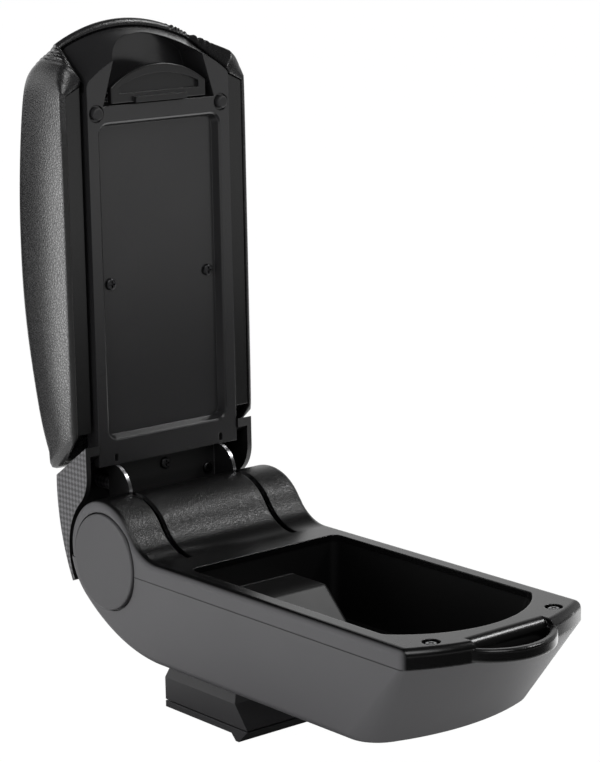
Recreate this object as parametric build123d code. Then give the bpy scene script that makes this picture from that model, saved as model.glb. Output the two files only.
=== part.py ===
from build123d import *
import os
from math import cos, hypot, radians, sin, sqrt

# Car centre armrest: a boat-shaped storage box on a mounting foot, with a hinged lid whose
# padded top slides. Millimetres. X runs across the car, -Y towards the front, Z up.
# While the pieces are drawn, the deck's top is z = 0, the bin's rear edge is y = 0, and the
# lid stands upright. PLACE then moves everything so that the origin is on the foot.

# Box: deck, hull and walls
DECK_WIDTH = 120.0
DECK_LENGTH = 176.0
RIM_HEIGHT = 10.0
RIM_BULGE = 17.0
RIM_CORNER_RADIUS = 5.0
EDGE_ROUND = 4.0
WALL = 2.6
HULL_DEPTH = 56.5
KEEL_WIDTH = 113.0
KEEL_BULGE = 13.0
KEEL_CORNER_RADIUS = 21.0
KEEL_ROUND = 4.0
BOW_RAKE = 32.0
TAIL_START_Y = 20.0

# Storage bin and the raised housing in its floor
BIN_WIDTH = 100.0
BIN_FRONT_MARGIN = 25.0
BIN_BULGE = 23.5
BIN_CORNER_RADIUS = 6.0
BIN_REAR_RADIUS = 5.0
BIN_DEPTH = 45.0
BIN_DRAFT = 2.5
BIN_FRONT_RAKE = 24.0
HOUSING_WIDTH = 44.0
HOUSING_TOP_Z = -16.0
HOUSING_LENGTH = 27.0
HOUSING_ROUND = 4.0

# Hinge drum, shaft and side caps
HINGE_Y = 61.8
HINGE_Z = -7.1
DRUM_RADIUS = 33.0
HUMP_RADIUS = 29.3
HUMP_SET_BACK = 2.7
HUMP_RISE = 3.4
HUMP_BLEND = 28.0
CAP_RADIUS = 26.2
CAP_GAP = 0.8
CAP_PROUD = 1.0
CAP_SEAT = 3.5
CHEEK_THICKNESS = 6.5
SHAFT_RADIUS = 4.0
SHAFT_LENGTH = 101.0
RUNNING_GAP = 0.05
HUB_RADIUS = 10.0
RIB_THICKNESS = 3.5
OUTER_RIB_X = 44.0
INNER_RIB_X = 26.0
CLIP_RADIUS = 7.0
CLIP_THICKNESS = 1.2
CLIP_GROOVE = 0.8
ACCESS_RADIUS = 7.8

# Finger notch and loop at the front of the deck
LOOP_HALF = 28.0
LOOP_REACH = 18.0
LOOP_BAR = 4.6
LOOP_DROP = 3.2
NOTCH_REACH = 11.0
NOTCH_ROUND = 6.0

# Screws
RIM_SCREW_X = 40.8
RIM_SCREW_INSET = 0.7
RECESS_RADIUS = 4.6
RECESS_DEPTH = 2.2
HEAD_RADIUS = 3.2
HEAD_HEIGHT = 1.7
SHANK_RADIUS = 1.6
SHANK_LENGTH = 11.0
CROSS_LENGTH = 3.8
CROSS_WIDTH = 0.9
CROSS_DEPTH = 1.0
SCREW_GAP = 0.1
BOSS_RADIUS = 4.4

# Mounting foot
FOOT_HEIGHT = 35.5
FOOT_WIDTH = 62.0
FOOT_NECK_WIDTH = 48.0
FOOT_FRONT_Y = -11.8
FOOT_REAR_Y = 49.5
FOOT_NECK_INSET = 6.0
FOOT_MID_Y = 19.0
SHOULDER_HEIGHT = 18.7
BLOCK_HEIGHT = 12.5
BLOCK_FLARE = 10.0
GROOVE_HEIGHT = 0.8
GROOVE_DEPTH = 2.0
LIP_LENGTH = 7.5
LIP_DROP = 3.6
LIP_FLAT = 2.6
MOUNT_HOLE_RADIUS = 2.5
MOUNT_HOLE_SPACING = 40.0
MOUNT_HOLE_DEPTH = 16.0
FOOT_SCREW_X = 15.0
FOOT_SCREW_SPACING = 30.0
FOOT_PAD_HEIGHT = 1.8
PLATE_SCREW_X = 23.0
PLATE_SCREW_SPACING = 44.0

# Lid: inner panel, tray recess and nose
PANEL_SET_BACK = 19.3
PANEL_WIDTH = 94.4
PANEL_FOOT_Z = 39.0
PANEL_CORNER_Z = 246.0
PANEL_BULGE = 17.7
PANEL_CORNER_RADIUS = 5.0
PANEL_SIDE_DEPTH = 11.0
RECESS_WIDTH = 76.4
RECESS_FOOT_Z = 54.9
RECESS_TOP_Z = 222.3
TRAY_DEPTH = 4.85
TRAY_ROUND = 4.0
TRAY_DRAFT = 2.0
TRAY_BEVEL = 0.7
NOSE_DEPTH = 28.9
NOSE_BASE_Z = 226.0
NOSE_BACK_WIDTH = 84.0
NOSE_BACK_CORNER_Z = 262.4
NOSE_BACK_BULGE = 9.5
POCKET_BASE_Z = 233.5
POCKET_BASE_WIDTH = 74.0
POCKET_SHOULDER_Z = 257.5
POCKET_SHOULDER_WIDTH = 59.0
POCKET_TOP_Z = 269.2
POCKET_DEPTH = 20.0
BUMPER_X = 41.5
BUMPER_Z = 230.0
BUMPER_RADIUS = 3.4
BUMPER_HEIGHT = 2.4
BUMPER_SEAT_RADIUS = 4.6
BUMPER_SEAT_DEPTH = 1.0
TRAY_SCREW_X = 32.8
TRAY_SCREW_Z = 137.4
ARM_HOLE_WIDTH = 2.4
ARM_HOLE_HEIGHT = 4.4
ARM_HOLE_Z = 42.9

# Latch lever, pin and spring
LEVER_WIDTH = 63.0
LEVER_SHOULDER_Z = 243.0
LEVER_TOP_Z = 254.0
LEVER_RIM = 5.0
LEVER_THICKNESS = 3.0
LEVER_WEB = 1.0
LEVER_EDGE = 0.9
LEVER_GAP = 0.8
LEVER_EAR_X = 24.0
LEVER_EAR_THICKNESS = 3.0
PIN_RADIUS = 1.5
PIN_SET_BACK = 9.0
PIN_RISE = 5.0
BARREL_RADIUS = 3.4
STRIP_WIDTH = 34.0
STRIP_HEIGHT = 3.0
STRIP_REACH = 2.2
SPRING_WIRE = 0.5
SPRING_RADIUS = 2.6
SPRING_PITCH = 1.5
SPRING_TURNS = 4

# Hinge bracket and its bushes
ARM_X = 35.75
SLOT_WIDTH = 3.6
SLOT_FRONT_Y = 17.5
SLOT_REAR_Y = 91.0
STEEL = 2.0
PLATE_SET_BACK = 24.2
PLATE_FOOT_Z = 19.5
PLATE_TOP_Z = 49.8
ARM_FRONT_SET_BACK = 7.0
ARM_SHOULDER_Z = 24.5
EYE_RADIUS = 11.0
BUSH_RADIUS = 6.0
BUSH_FLANGE_RADIUS = 8.0
BUSH_FLANGE = 1.5
BUSH_LENGTH = 9.0
CENTRE_SCREW_Z = 33.0
SIDE_SCREW_X = 29.5
SIDE_SCREW_Z = 25.5
PANEL_SCREW_X = 20.0
PANEL_SCREW_Z = 45.5
PANEL_SCREW_GRIP = 4.0

# Rear cover
COVER_WIDTH = 114.0
COVER_WALL = 3.0
COVER_FRONT_SET_BACK = 18.2
COVER_TOP_Z = 51.5
COVER_BACK_Y = 108.6
COVER_BACK_Z = 32.0
COVER_WAIST_Y = 105.5
COVER_CLEARANCE = 4.0
COVER_ROUND = 20.0
TAIL_ANGLE = 28.0
TAIL_THICKNESS = 2.4

# Padded top, its base and the slide rails
BASE_WIDTH = 117.0
BASE_SET_BACK = 3.4
BASE_DEPTH = 14.1
BASE_FOOT_Z = 58.0
BASE_TOP_Z = 244.5
STRIP_INNER_X = 49.5
BASE_PLATE_TOP_Z = 174.0
BASE_SLOPE = 4.3
RAIL_FOOT_Z = 70.0
RAIL_LENGTH = 100.0
RAIL_STEM = 6.0
RAIL_HEAD = 12.0
RAIL_HEAD_THICKNESS = 2.8
SLIDE_GAP = 0.35
PAD_GAP = 0.3
PAD_WIDTH = 124.0
PAD_FOOT_FRONT_Z = 56.0
PAD_FOOT_BACK_Z = 37.0
PAD_CORNER_Z = 251.5
PAD_TOP_Z = 276.5
PAD_RAMP_Z = 246.0
PAD_CROWN_Y = 136.0
PAD_FOOT_BACK_Y = 112.0
PAD_NOSE_BACK_Y = 116.0
PAD_ROUND = 13.0
PAD_CORNER_RADIUS = 18.0
PAD_LIP_SET_BACK = 2.6

# Planes and places worked out from the sizes above
HALF = DECK_WIDTH / 2
RIM_CORNER_Y = -DECK_LENGTH
BIN_CORNER_Y = RIM_CORNER_Y + BIN_FRONT_MARGIN
NOTCH_Y = RIM_CORNER_Y - NOTCH_REACH
RIM_SCREW_Y = RIM_CORNER_Y + RIM_SCREW_INSET
OUTLINE_REAR_Y = HINGE_Y + DRUM_RADIUS + WALL
HUMP_Y = HINGE_Y + HUMP_SET_BACK
HUMP_Z = HINGE_Z + HUMP_RISE
BOW_LIMIT_Y = RIM_CORNER_Y - 2 * RIM_BULGE
PANEL_Y = HINGE_Y + PANEL_SET_BACK
TRAY_FLOOR_Y = PANEL_Y + TRAY_DEPTH
TRAY_BACK_Y = TRAY_FLOOR_Y + WALL
NOSE_BACK_Y = PANEL_Y + NOSE_DEPTH
PLATE_Y = HINGE_Y + PLATE_SET_BACK
COVER_FRONT_Y = HINGE_Y + COVER_FRONT_SET_BACK
BASE_Y = PANEL_Y + BASE_SET_BACK
BASE_BACK_Y = BASE_Y + BASE_DEPTH
BASE_PLATE_Y = BASE_BACK_Y - WALL
PIN_Y = PANEL_Y + PIN_SET_BACK
PIN_Z = POCKET_BASE_Z + PIN_RISE
MOUNT_Z = -(HULL_DEPTH + FOOT_HEIGHT)
PLACE = Pos(0, -FOOT_MID_Y, -MOUNT_Z)
SIDES = (-1, 1)


def bowed_outline(width, corner, bulge, corner_radius, other_end, end_radius=0.0):
    """Straight-sided outline whose one end bows out by bulge, along the second axis."""
    half = width / 2
    bow = ThreePointArc((-half, corner), (0, corner + bulge), (half, corner))
    sides = Polyline((half, corner), (half, other_end), (-half, other_end), (-half, corner))
    face = make_face(bow + sides)
    face = fillet(sorted(face.vertices(), key=lambda v: abs(v.Y - corner))[:2], corner_radius)
    if end_radius:
        ends = face.vertices().filter_by_position(Axis.Y, other_end - 0.01, other_end + 0.01)
        face = fillet(ends, end_radius)
    return face


def across(profile, half_width):
    """Solid from a profile in the YZ plane, carried half_width to each side."""
    return extrude(Plane.YZ * profile, half_width, both=True)


def across_from(profile, start, length):
    """Solid from a profile in the YZ plane, from x = start over length."""
    return extrude(Plane.YZ.offset(start) * profile, length)


def behind(outline, front, depth):
    """Solid from an outline in the XZ plane, from y = front backwards over depth."""
    return extrude(Plane.XZ.offset(-front) * outline, -depth)


def block(low, high):
    """Box between two opposite corners."""
    size = [b - a for a, b in zip(low, high)]
    return Pos(*low) * Box(*size, align=(Align.MIN, Align.MIN, Align.MIN))


def rod(radius, start, length, y, z):
    """Round bar along X."""
    bar = Cylinder(radius, length, align=(Align.CENTER, Align.CENTER, Align.MIN))
    return Pos(start, y, z) * Rot(0, 90, 0) * bar


def cross_screw(shank_length):
    """Pan-head screw with a cross recess: head above z = 0, shank below."""
    head = Cylinder(HEAD_RADIUS, HEAD_HEIGHT, align=(Align.CENTER, Align.CENTER, Align.MIN))
    head = fillet(head.edges().sort_by(Axis.Z)[-1], HEAD_HEIGHT * 0.6)
    arm = Pos(0, 0, HEAD_HEIGHT) * Box(CROSS_LENGTH, CROSS_WIDTH, 2 * CROSS_DEPTH)
    shank = Cylinder(SHANK_RADIUS, shank_length, align=(Align.CENTER, Align.CENTER, Align.MAX))
    return head + shank - arm - Rot(0, 0, 90) * arm


def hull_profile(inset):
    """Side view of the hull below the split: flat keel, sweep up to the drum, drum's lower rear."""
    radius = DRUM_RADIUS - inset
    keel_z = inset - HULL_DEPTH
    run = HINGE_Y - TAIL_START_Y
    drop = HINGE_Z - keel_z
    sweep_radius = (run**2 + drop**2 - radius**2) / (2 * (drop - radius))
    rise = HINGE_Z - keel_z - sweep_radius
    reach = hypot(run, rise)
    touch = (HINGE_Y + radius * run / reach, HINGE_Z + radius * rise / reach)
    split_y = HINGE_Y + sqrt(radius**2 - (HINGE_Z + RIM_HEIGHT) ** 2)
    keel_end = (TAIL_START_Y, keel_z)
    split = (split_y, -RIM_HEIGHT)
    keel = Line((BOW_LIMIT_Y, keel_z), keel_end)
    sweep_up = TangentArc(keel_end, touch, tangent=(1, 0))
    drum = TangentArc(touch, split, tangent=sweep_up % 1)
    top = Polyline(split, (BOW_LIMIT_Y, -RIM_HEIGHT), (BOW_LIMIT_Y, keel_z))
    return make_face(keel + sweep_up + drum + top)


def hull_body(inset):
    """Raked boat shape under the deck, drawn in by inset on every side but the top."""
    rim = bowed_outline(
        DECK_WIDTH - 2 * inset, RIM_CORNER_Y + inset, -RIM_BULGE, RIM_CORNER_RADIUS - inset, OUTLINE_REAR_Y
    )
    keel = bowed_outline(
        KEEL_WIDTH - 2 * inset, RIM_CORNER_Y + BOW_RAKE + inset, -KEEL_BULGE,
        KEEL_CORNER_RADIUS - inset, OUTLINE_REAR_Y
    )
    boat = loft([Pos(0, 0, -RIM_HEIGHT) * rim, Pos(0, 0, -HULL_DEPTH) * keel], ruled=True)
    return boat & across(hull_profile(inset), HALF)


def deck_profile(inset):
    """Side view above the split: deck, hollow blend and the round hump over the hinge."""
    radius = HUMP_RADIUS - inset
    reach = HUMP_RADIUS + HUMP_BLEND
    rise = HUMP_BLEND - HUMP_Z
    run = sqrt(reach**2 - rise**2)
    blend_start = (HUMP_Y - run, -inset)
    touch = (HUMP_Y - radius * run / reach, HUMP_Z + radius * rise / reach)
    split = (HUMP_Y + sqrt(radius**2 - (HUMP_Z + RIM_HEIGHT) ** 2), -RIM_HEIGHT)
    blend = TangentArc(blend_start, touch, tangent=(1, 0))
    hump = TangentArc(touch, split, tangent=blend % 1)
    deck = Polyline(split, (BOW_LIMIT_Y, -RIM_HEIGHT), (BOW_LIMIT_Y, -inset), blend_start)
    return make_face(blend + hump + deck)


def tray_body(inset):
    """Deck and hump as one solid, drawn in by inset on every side but the bottom."""
    plan = bowed_outline(
        DECK_WIDTH - 2 * inset, RIM_CORNER_Y + inset, -RIM_BULGE, RIM_CORNER_RADIUS - inset, OUTLINE_REAR_Y
    )
    column = extrude(Pos(0, 0, -RIM_HEIGHT) * plan, RIM_HEIGHT + 2 * DRUM_RADIUS)
    return column & across(deck_profile(inset), HALF)


def bin_body(grow):
    """Inside of the storage bin, or its outer skin when grown by the wall."""
    mouth = bowed_outline(
        BIN_WIDTH + 2 * grow, BIN_CORNER_Y - grow, -BIN_BULGE, BIN_CORNER_RADIUS + grow,
        grow, BIN_REAR_RADIUS + grow
    )
    floor = bowed_outline(
        BIN_WIDTH + 2 * grow - 2 * BIN_DRAFT, BIN_CORNER_Y + BIN_FRONT_RAKE - grow, -BIN_BULGE,
        BIN_CORNER_RADIUS + grow, grow - BIN_DRAFT, BIN_REAR_RADIUS + grow
    )
    return loft([mouth, Pos(0, 0, -BIN_DEPTH - grow) * floor], ruled=True)


def housing(grow_in):
    """Raised housing over the foot's fixing in the bin floor, with a sloping front."""
    top_z = HOUSING_TOP_Z - grow_in
    corner_y = -HOUSING_LENGTH + grow_in * (sqrt(2) - 1)
    floor_z = -BIN_DEPTH - grow_in
    rear_y = WALL / 2 - 2 * grow_in
    profile = Polyline(
        (rear_y, floor_z), (rear_y, top_z), (corner_y, top_z), (corner_y - (top_z - floor_z), floor_z),
        close=True
    )
    return across(make_face(profile), HOUSING_WIDTH / 2 - grow_in)


def rounded_housing():
    """Housing with its exposed edges rounded."""
    body = housing(0)
    exposed = body.edges().filter_by(lambda e: e.center().Y < -WALL and e.center().Z > WALL - BIN_DEPTH)
    return fillet(exposed, HOUSING_ROUND)


def cheek(side):
    """Thick disc behind each side cap."""
    return Pos(side * (HALF - CHEEK_THICKNESS / 2), HINGE_Y, HINGE_Z) * Rot(0, 90, 0) * Cylinder(
        DRUM_RADIUS - WALL / 2, CHEEK_THICKNESS
    )


def cap_pockets():
    """Seats of the two side caps and the holes through which the shaft is put in."""
    seat = HALF - CAP_SEAT
    pockets = Part()
    for side in SIDES:
        start = seat if side > 0 else -seat - DECK_WIDTH
        pockets += rod(CAP_RADIUS + CAP_GAP, start, DECK_WIDTH, HINGE_Y, HINGE_Z)
    return pockets + rod(ACCESS_RADIUS, HALF - CHEEK_THICKNESS - 1, CHEEK_THICKNESS, HINGE_Y, HINGE_Z) + rod(
        ACCESS_RADIUS, 1 - HALF, CHEEK_THICKNESS, HINGE_Y, HINGE_Z
    )


def bearing_rib(x, outer):
    """Upright rib that carries the shaft, standing on the hull's floor."""
    leg = block((x, HINGE_Y - HUB_RADIUS, -HULL_DEPTH), (x + RIB_THICKNESS, HINGE_Y + HUB_RADIUS, HINGE_Z))
    below = block((-HALF, BOW_LIMIT_Y, -HULL_DEPTH), (HALF, OUTLINE_REAR_Y, -RIM_HEIGHT))
    foot = leg & outer & below
    neck = leg - below
    return foot + neck + rod(HUB_RADIUS, x, RIB_THICKNESS, HINGE_Y, HINGE_Z)


def screw_places(x, mid_y, spacing):
    """Four screw places, symmetric about the middle."""
    return [(side * x, mid_y + end * spacing / 2) for side in SIDES for end in SIDES]


def lower_hull():
    outer = hull_body(0)
    keel_face = outer.faces().sort_by(Axis.Z)[0]
    keel_edges = keel_face.edges().filter_by(lambda e: e.center().Y < TAIL_START_Y - 1)
    outer = fillet(keel_edges, KEEL_ROUND)
    hull = outer - hull_body(WALL)
    for side in SIDES:
        hull += cheek(side) & outer
        boss = Cylinder(BOSS_RADIUS, 3 * WALL, align=(Align.CENTER, Align.CENTER, Align.MAX))
        hull += Pos(side * RIM_SCREW_X, RIM_SCREW_Y, -RIM_HEIGHT) * boss & outer
        for rib_x in (OUTER_RIB_X, INNER_RIB_X):
            hull += bearing_rib(side * rib_x - RIB_THICKNESS / 2, outer)
        pilot_depth = SHANK_LENGTH + RECESS_DEPTH - RIM_HEIGHT + SCREW_GAP
        pilot = Cylinder(SHANK_RADIUS + SCREW_GAP, 2 * pilot_depth)
        hull -= Pos(side * RIM_SCREW_X, RIM_SCREW_Y, -RIM_HEIGHT) * pilot
    hull -= cap_pockets()
    hull -= rod(SHAFT_RADIUS + RUNNING_GAP, -HALF, DECK_WIDTH, HINGE_Y, HINGE_Z)
    for x, y in screw_places(FOOT_SCREW_X, FOOT_MID_Y, FOOT_SCREW_SPACING):
        pad = Cylinder(BOSS_RADIUS, WALL + FOOT_PAD_HEIGHT, align=(Align.CENTER, Align.CENTER, Align.MIN))
        hull += Pos(x, y, -HULL_DEPTH) * pad & outer
        hull -= Pos(x, y, -HULL_DEPTH) * Cylinder(SHANK_RADIUS + SCREW_GAP, 4 * WALL)
    return hull


def finger_loop():
    """Bowed bar in front of the deck for the fingers."""
    root_y = NOTCH_Y + WALL / 2
    front_y = NOTCH_Y - LOOP_REACH
    outer_half = LOOP_HALF + LOOP_BAR / 2
    inner_half = LOOP_HALF - LOOP_BAR / 2
    outer = ThreePointArc((-outer_half, root_y), (0, front_y), (outer_half, root_y))
    inner = ThreePointArc((inner_half, root_y), (0, front_y + LOOP_BAR), (-inner_half, root_y))
    ends = Line(outer @ 1, inner @ 0) + Line(inner @ 1, outer @ 0)
    bar = extrude(Pos(0, 0, -RIM_HEIGHT) * make_face(outer + inner + ends), RIM_HEIGHT - LOOP_DROP)
    arcs = bar.edges().filter_by(GeomType.CIRCLE)
    return fillet(arcs, LOOP_BAR * 0.35)


def notch_lip():
    """What is cut off the deck's edge so that it rolls down into the finger notch."""
    top = NOTCH_Y + NOTCH_ROUND
    roll = CenterArc((top, -NOTCH_ROUND), NOTCH_ROUND, 90, 90)
    rest = Polyline((NOTCH_Y, -NOTCH_ROUND), (NOTCH_Y, NOTCH_ROUND), (top, NOTCH_ROUND), (top, 0))
    return across(make_face(roll + rest), LOOP_HALF - LOOP_BAR / 2)


def top_tray():
    outer = tray_body(0)
    rim_edges = outer.edges().filter_by(
        lambda e: e.center().Z > -1 and (abs(e.center().X) > 1 or e.center().Y < RIM_CORNER_Y)
    )
    outer = fillet(rim_edges, EDGE_ROUND)
    tray = outer - tray_body(WALL)
    for side in SIDES:
        tray += cheek(side) & outer
        pillar = Cylinder(RECESS_RADIUS + WALL / 2, RIM_HEIGHT, align=(Align.CENTER, Align.CENTER, Align.MAX))
        tray += Pos(side * RIM_SCREW_X, RIM_SCREW_Y, 0) * pillar & outer
    notch_reach = LOOP_HALF + LOOP_BAR
    notch_back_y = NOTCH_Y + NOTCH_ROUND + WALL
    notch_wall = block((-notch_reach, NOTCH_Y, -RIM_HEIGHT), (notch_reach, notch_back_y, -WALL / 2))
    tray += notch_wall & outer
    notch_half = LOOP_HALF - LOOP_BAR / 2
    tray -= block((-notch_half, BOW_LIMIT_Y, -RIM_HEIGHT), (notch_half, NOTCH_Y, RIM_HEIGHT))
    tray -= notch_lip()
    tray += finger_loop()
    tray += bin_body(WALL) - block((-HALF, BOW_LIMIT_Y, -WALL), (HALF, OUTLINE_REAR_Y, RIM_HEIGHT))
    tray -= bin_body(0)
    tray += rounded_housing()
    tray -= housing(WALL)
    tray -= cap_pockets()
    for side in SIDES:
        left = side * ARM_X - SLOT_WIDTH / 2
        tray -= block((left, SLOT_FRONT_Y, -RIM_HEIGHT), (left + SLOT_WIDTH, SLOT_REAR_Y, DRUM_RADIUS))
        place = Pos(side * RIM_SCREW_X, RIM_SCREW_Y, 0)
        tray -= place * Cylinder(RECESS_RADIUS, 2 * RECESS_DEPTH)
        tray -= place * Cylinder(SHANK_RADIUS + SCREW_GAP, 4 * RIM_HEIGHT)
    return tray


def side_cap(side):
    """Round cap with a rounded rim and a spigot that plugs into the cheek."""
    disc = rod(CAP_RADIUS, HALF - CAP_SEAT, CAP_SEAT + CAP_PROUD, HINGE_Y, HINGE_Z)
    rim = disc.edges().sort_by(Axis.X)[-1]
    disc = fillet(rim, CAP_PROUD)
    spigot_length = CHEEK_THICKNESS - CAP_SEAT
    spigot = rod(ACCESS_RADIUS - SCREW_GAP, HALF - CHEEK_THICKNESS, spigot_length, HINGE_Y, HINGE_Z)
    bore = rod(ACCESS_RADIUS - WALL, HALF - CHEEK_THICKNESS, spigot_length, HINGE_Y, HINGE_Z)
    cap = disc + (spigot - bore)
    return cap if side > 0 else mirror(cap, about=Plane.YZ)


def clip_places():
    """Left faces of the two retaining clips, just outside the outer ribs."""
    gap = RUNNING_GAP
    outside = OUTER_RIB_X + RIB_THICKNESS / 2 + gap
    return (outside, -outside - CLIP_THICKNESS)


def hinge_shaft():
    shaft = rod(SHAFT_RADIUS, -SHAFT_LENGTH / 2, SHAFT_LENGTH, HINGE_Y, HINGE_Z)
    for start in clip_places():
        width = CLIP_THICKNESS + 2 * RUNNING_GAP
        groove = rod(CLIP_RADIUS, start - RUNNING_GAP, width, HINGE_Y, HINGE_Z)
        core = rod(SHAFT_RADIUS - CLIP_GROOVE, start - RUNNING_GAP, width, HINGE_Y, HINGE_Z)
        shaft -= groove - core
    return shaft


def shaft_clips():
    """Two open retaining rings that snap into the shaft's grooves."""
    clips = Part()
    inner = SHAFT_RADIUS - CLIP_GROOVE + RUNNING_GAP
    for start in clip_places():
        ring = rod(CLIP_RADIUS, start, CLIP_THICKNESS, HINGE_Y, HINGE_Z)
        ring -= rod(inner, start, CLIP_THICKNESS, HINGE_Y, HINGE_Z)
        top_z = HINGE_Z + 2 * CLIP_RADIUS
        mouth = block((start, HINGE_Y - inner, HINGE_Z), (start + CLIP_THICKNESS, HINGE_Y + inner, top_z))
        clips += ring - mouth
    return clips


def rim_screws():
    screws = Part()
    for side in SIDES:
        screws += Pos(side * RIM_SCREW_X, RIM_SCREW_Y, -RECESS_DEPTH) * cross_screw(SHANK_LENGTH)
    return screws


def foot_block():
    """Pedestal with sloping shoulders and a raked front, screwed under the hull."""
    neck_z = -HULL_DEPTH
    shoulder_z = neck_z - SHOULDER_HEIGHT
    foot_z = shoulder_z - BLOCK_HEIGHT
    length = FOOT_REAR_Y - FOOT_FRONT_Y
    mid_y = (FOOT_REAR_Y + FOOT_FRONT_Y) / 2
    neck = Pos(0, mid_y, neck_z) * Rectangle(FOOT_NECK_WIDTH, length - 2 * FOOT_NECK_INSET)
    shoulder = Pos(0, mid_y, shoulder_z) * Rectangle(FOOT_WIDTH, length)
    pedestal = loft([neck, shoulder], ruled=True)
    skirt = Polyline(
        (FOOT_FRONT_Y, shoulder_z), (FOOT_REAR_Y, shoulder_z), (FOOT_REAR_Y, foot_z),
        (FOOT_FRONT_Y - BLOCK_FLARE, foot_z), close=True
    )
    pedestal += across(make_face(skirt), FOOT_WIDTH / 2)
    for x, y in screw_places(FOOT_SCREW_X, FOOT_MID_Y, FOOT_SCREW_SPACING):
        pedestal -= Pos(x, y, neck_z) * Cylinder(SHANK_RADIUS + SCREW_GAP, 3 * SHANK_LENGTH)
    for x, y in screw_places(PLATE_SCREW_X, FOOT_MID_Y, PLATE_SCREW_SPACING):
        pedestal -= Pos(x, y, MOUNT_Z) * Cylinder(SHANK_RADIUS + SCREW_GAP, 3 * SHANK_LENGTH)
    for end in SIDES:
        hole = Cylinder(MOUNT_HOLE_RADIUS, 2 * MOUNT_HOLE_DEPTH)
        pedestal -= Pos(0, FOOT_MID_Y + end * MOUNT_HOLE_SPACING / 2, MOUNT_Z) * hole
    return pedestal


def foot_plate():
    """Lower plate of the shoe, with a shadow groove above it and a hooked front lip."""
    block_z = -HULL_DEPTH - SHOULDER_HEIGHT - BLOCK_HEIGHT
    top_z = block_z - GROOVE_HEIGHT
    front_y = FOOT_FRONT_Y - BLOCK_FLARE
    lip_z = MOUNT_Z - LIP_DROP
    lip_y = front_y + LIP_LENGTH
    side = Polyline(
        (front_y, top_z), (FOOT_REAR_Y, top_z), (FOOT_REAR_Y, MOUNT_Z),
        (lip_y + LIP_FLAT + LIP_DROP, MOUNT_Z), (lip_y + LIP_FLAT, lip_z), (lip_y, lip_z), close=True
    )
    plate = across(make_face(side), FOOT_WIDTH / 2)
    half_pad = FOOT_WIDTH / 2 - GROOVE_DEPTH
    pad_rear_y = FOOT_REAR_Y - GROOVE_DEPTH
    plate += block((-half_pad, front_y + GROOVE_DEPTH, top_z), (half_pad, pad_rear_y, block_z))
    for x, y in screw_places(PLATE_SCREW_X, FOOT_MID_Y, PLATE_SCREW_SPACING):
        plate -= Pos(x, y, MOUNT_Z) * Cylinder(SHANK_RADIUS + SCREW_GAP, 3 * FOOT_HEIGHT)
        plate -= Pos(x, y, MOUNT_Z) * Cylinder(HEAD_RADIUS + SCREW_GAP, 2 * RECESS_DEPTH)
    for end in SIDES:
        hole = Cylinder(MOUNT_HOLE_RADIUS, 2 * MOUNT_HOLE_DEPTH)
        plate -= Pos(0, FOOT_MID_Y + end * MOUNT_HOLE_SPACING / 2, MOUNT_Z) * hole
    return plate


def foot_screws():
    """Four screws from inside the hull down into the foot block."""
    screws = Part()
    for x, y in screw_places(FOOT_SCREW_X, FOOT_MID_Y, FOOT_SCREW_SPACING):
        screws += Pos(x, y, WALL + FOOT_PAD_HEIGHT - HULL_DEPTH) * cross_screw(SHANK_LENGTH)
    return screws


def plate_screws():
    """Four screws from below through the plate into the foot block."""
    screws = Part()
    for x, y in screw_places(PLATE_SCREW_X, FOOT_MID_Y, PLATE_SCREW_SPACING):
        screws += Pos(x, y, MOUNT_Z + RECESS_DEPTH) * Rot(180, 0, 0) * cross_screw(SHANK_LENGTH)
    return screws


def nose_body(inset):
    """Lid's front end, swept back from the panel's bowed edge."""
    front = bowed_outline(
        PANEL_WIDTH - 2 * inset, PANEL_CORNER_Z - inset, PANEL_BULGE,
        PANEL_CORNER_RADIUS - inset, NOSE_BASE_Z + inset
    )
    back = bowed_outline(
        NOSE_BACK_WIDTH - 2 * inset, NOSE_BACK_CORNER_Z - inset, NOSE_BACK_BULGE,
        PANEL_CORNER_RADIUS - inset, NOSE_BASE_Z + inset
    )
    return loft([Plane.XZ.offset(-PANEL_Y) * front, Plane.XZ.offset(-NOSE_BACK_Y) * back], ruled=True)


def pocket_outline(grow):
    """D-shaped outline of the latch pocket."""
    base = POCKET_BASE_WIDTH / 2 + grow
    shoulder = POCKET_SHOULDER_WIDTH / 2 + grow
    foot_z = POCKET_BASE_Z - grow
    shoulder_z = POCKET_SHOULDER_Z
    arch = ThreePointArc((shoulder, shoulder_z), (0, POCKET_TOP_Z + grow), (-shoulder, shoulder_z))
    sides = Polyline((-shoulder, shoulder_z), (-base, foot_z), (base, foot_z), (shoulder, shoulder_z))
    return make_face(arch + sides)


def frame_outline(width, foot_z, top_z):
    """Rectangle in the XZ plane, centred across."""
    return Pos(0, (foot_z + top_z) / 2) * Rectangle(width, top_z - foot_z)


def recess_section(grow, y):
    """Rounded outline of the tray recess at depth y, grown by the draft of its walls."""
    outline = frame_outline(RECESS_WIDTH + 2 * grow, RECESS_FOOT_Z - grow, RECESS_TOP_Z + grow)
    return Plane.XZ.offset(-y) * fillet(outline.vertices(), TRAY_ROUND + grow)


def tray_recess():
    """Shallow recess with drafted walls and a bevelled edge."""
    floor = recess_section(0, TRAY_FLOOR_Y)
    brow = recess_section(TRAY_DRAFT - TRAY_BEVEL / 2, PANEL_Y + TRAY_BEVEL)
    mouth = recess_section(TRAY_DRAFT + TRAY_BEVEL, PANEL_Y)
    return loft([floor, brow], ruled=True) + loft([brow, mouth], ruled=True)


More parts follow.
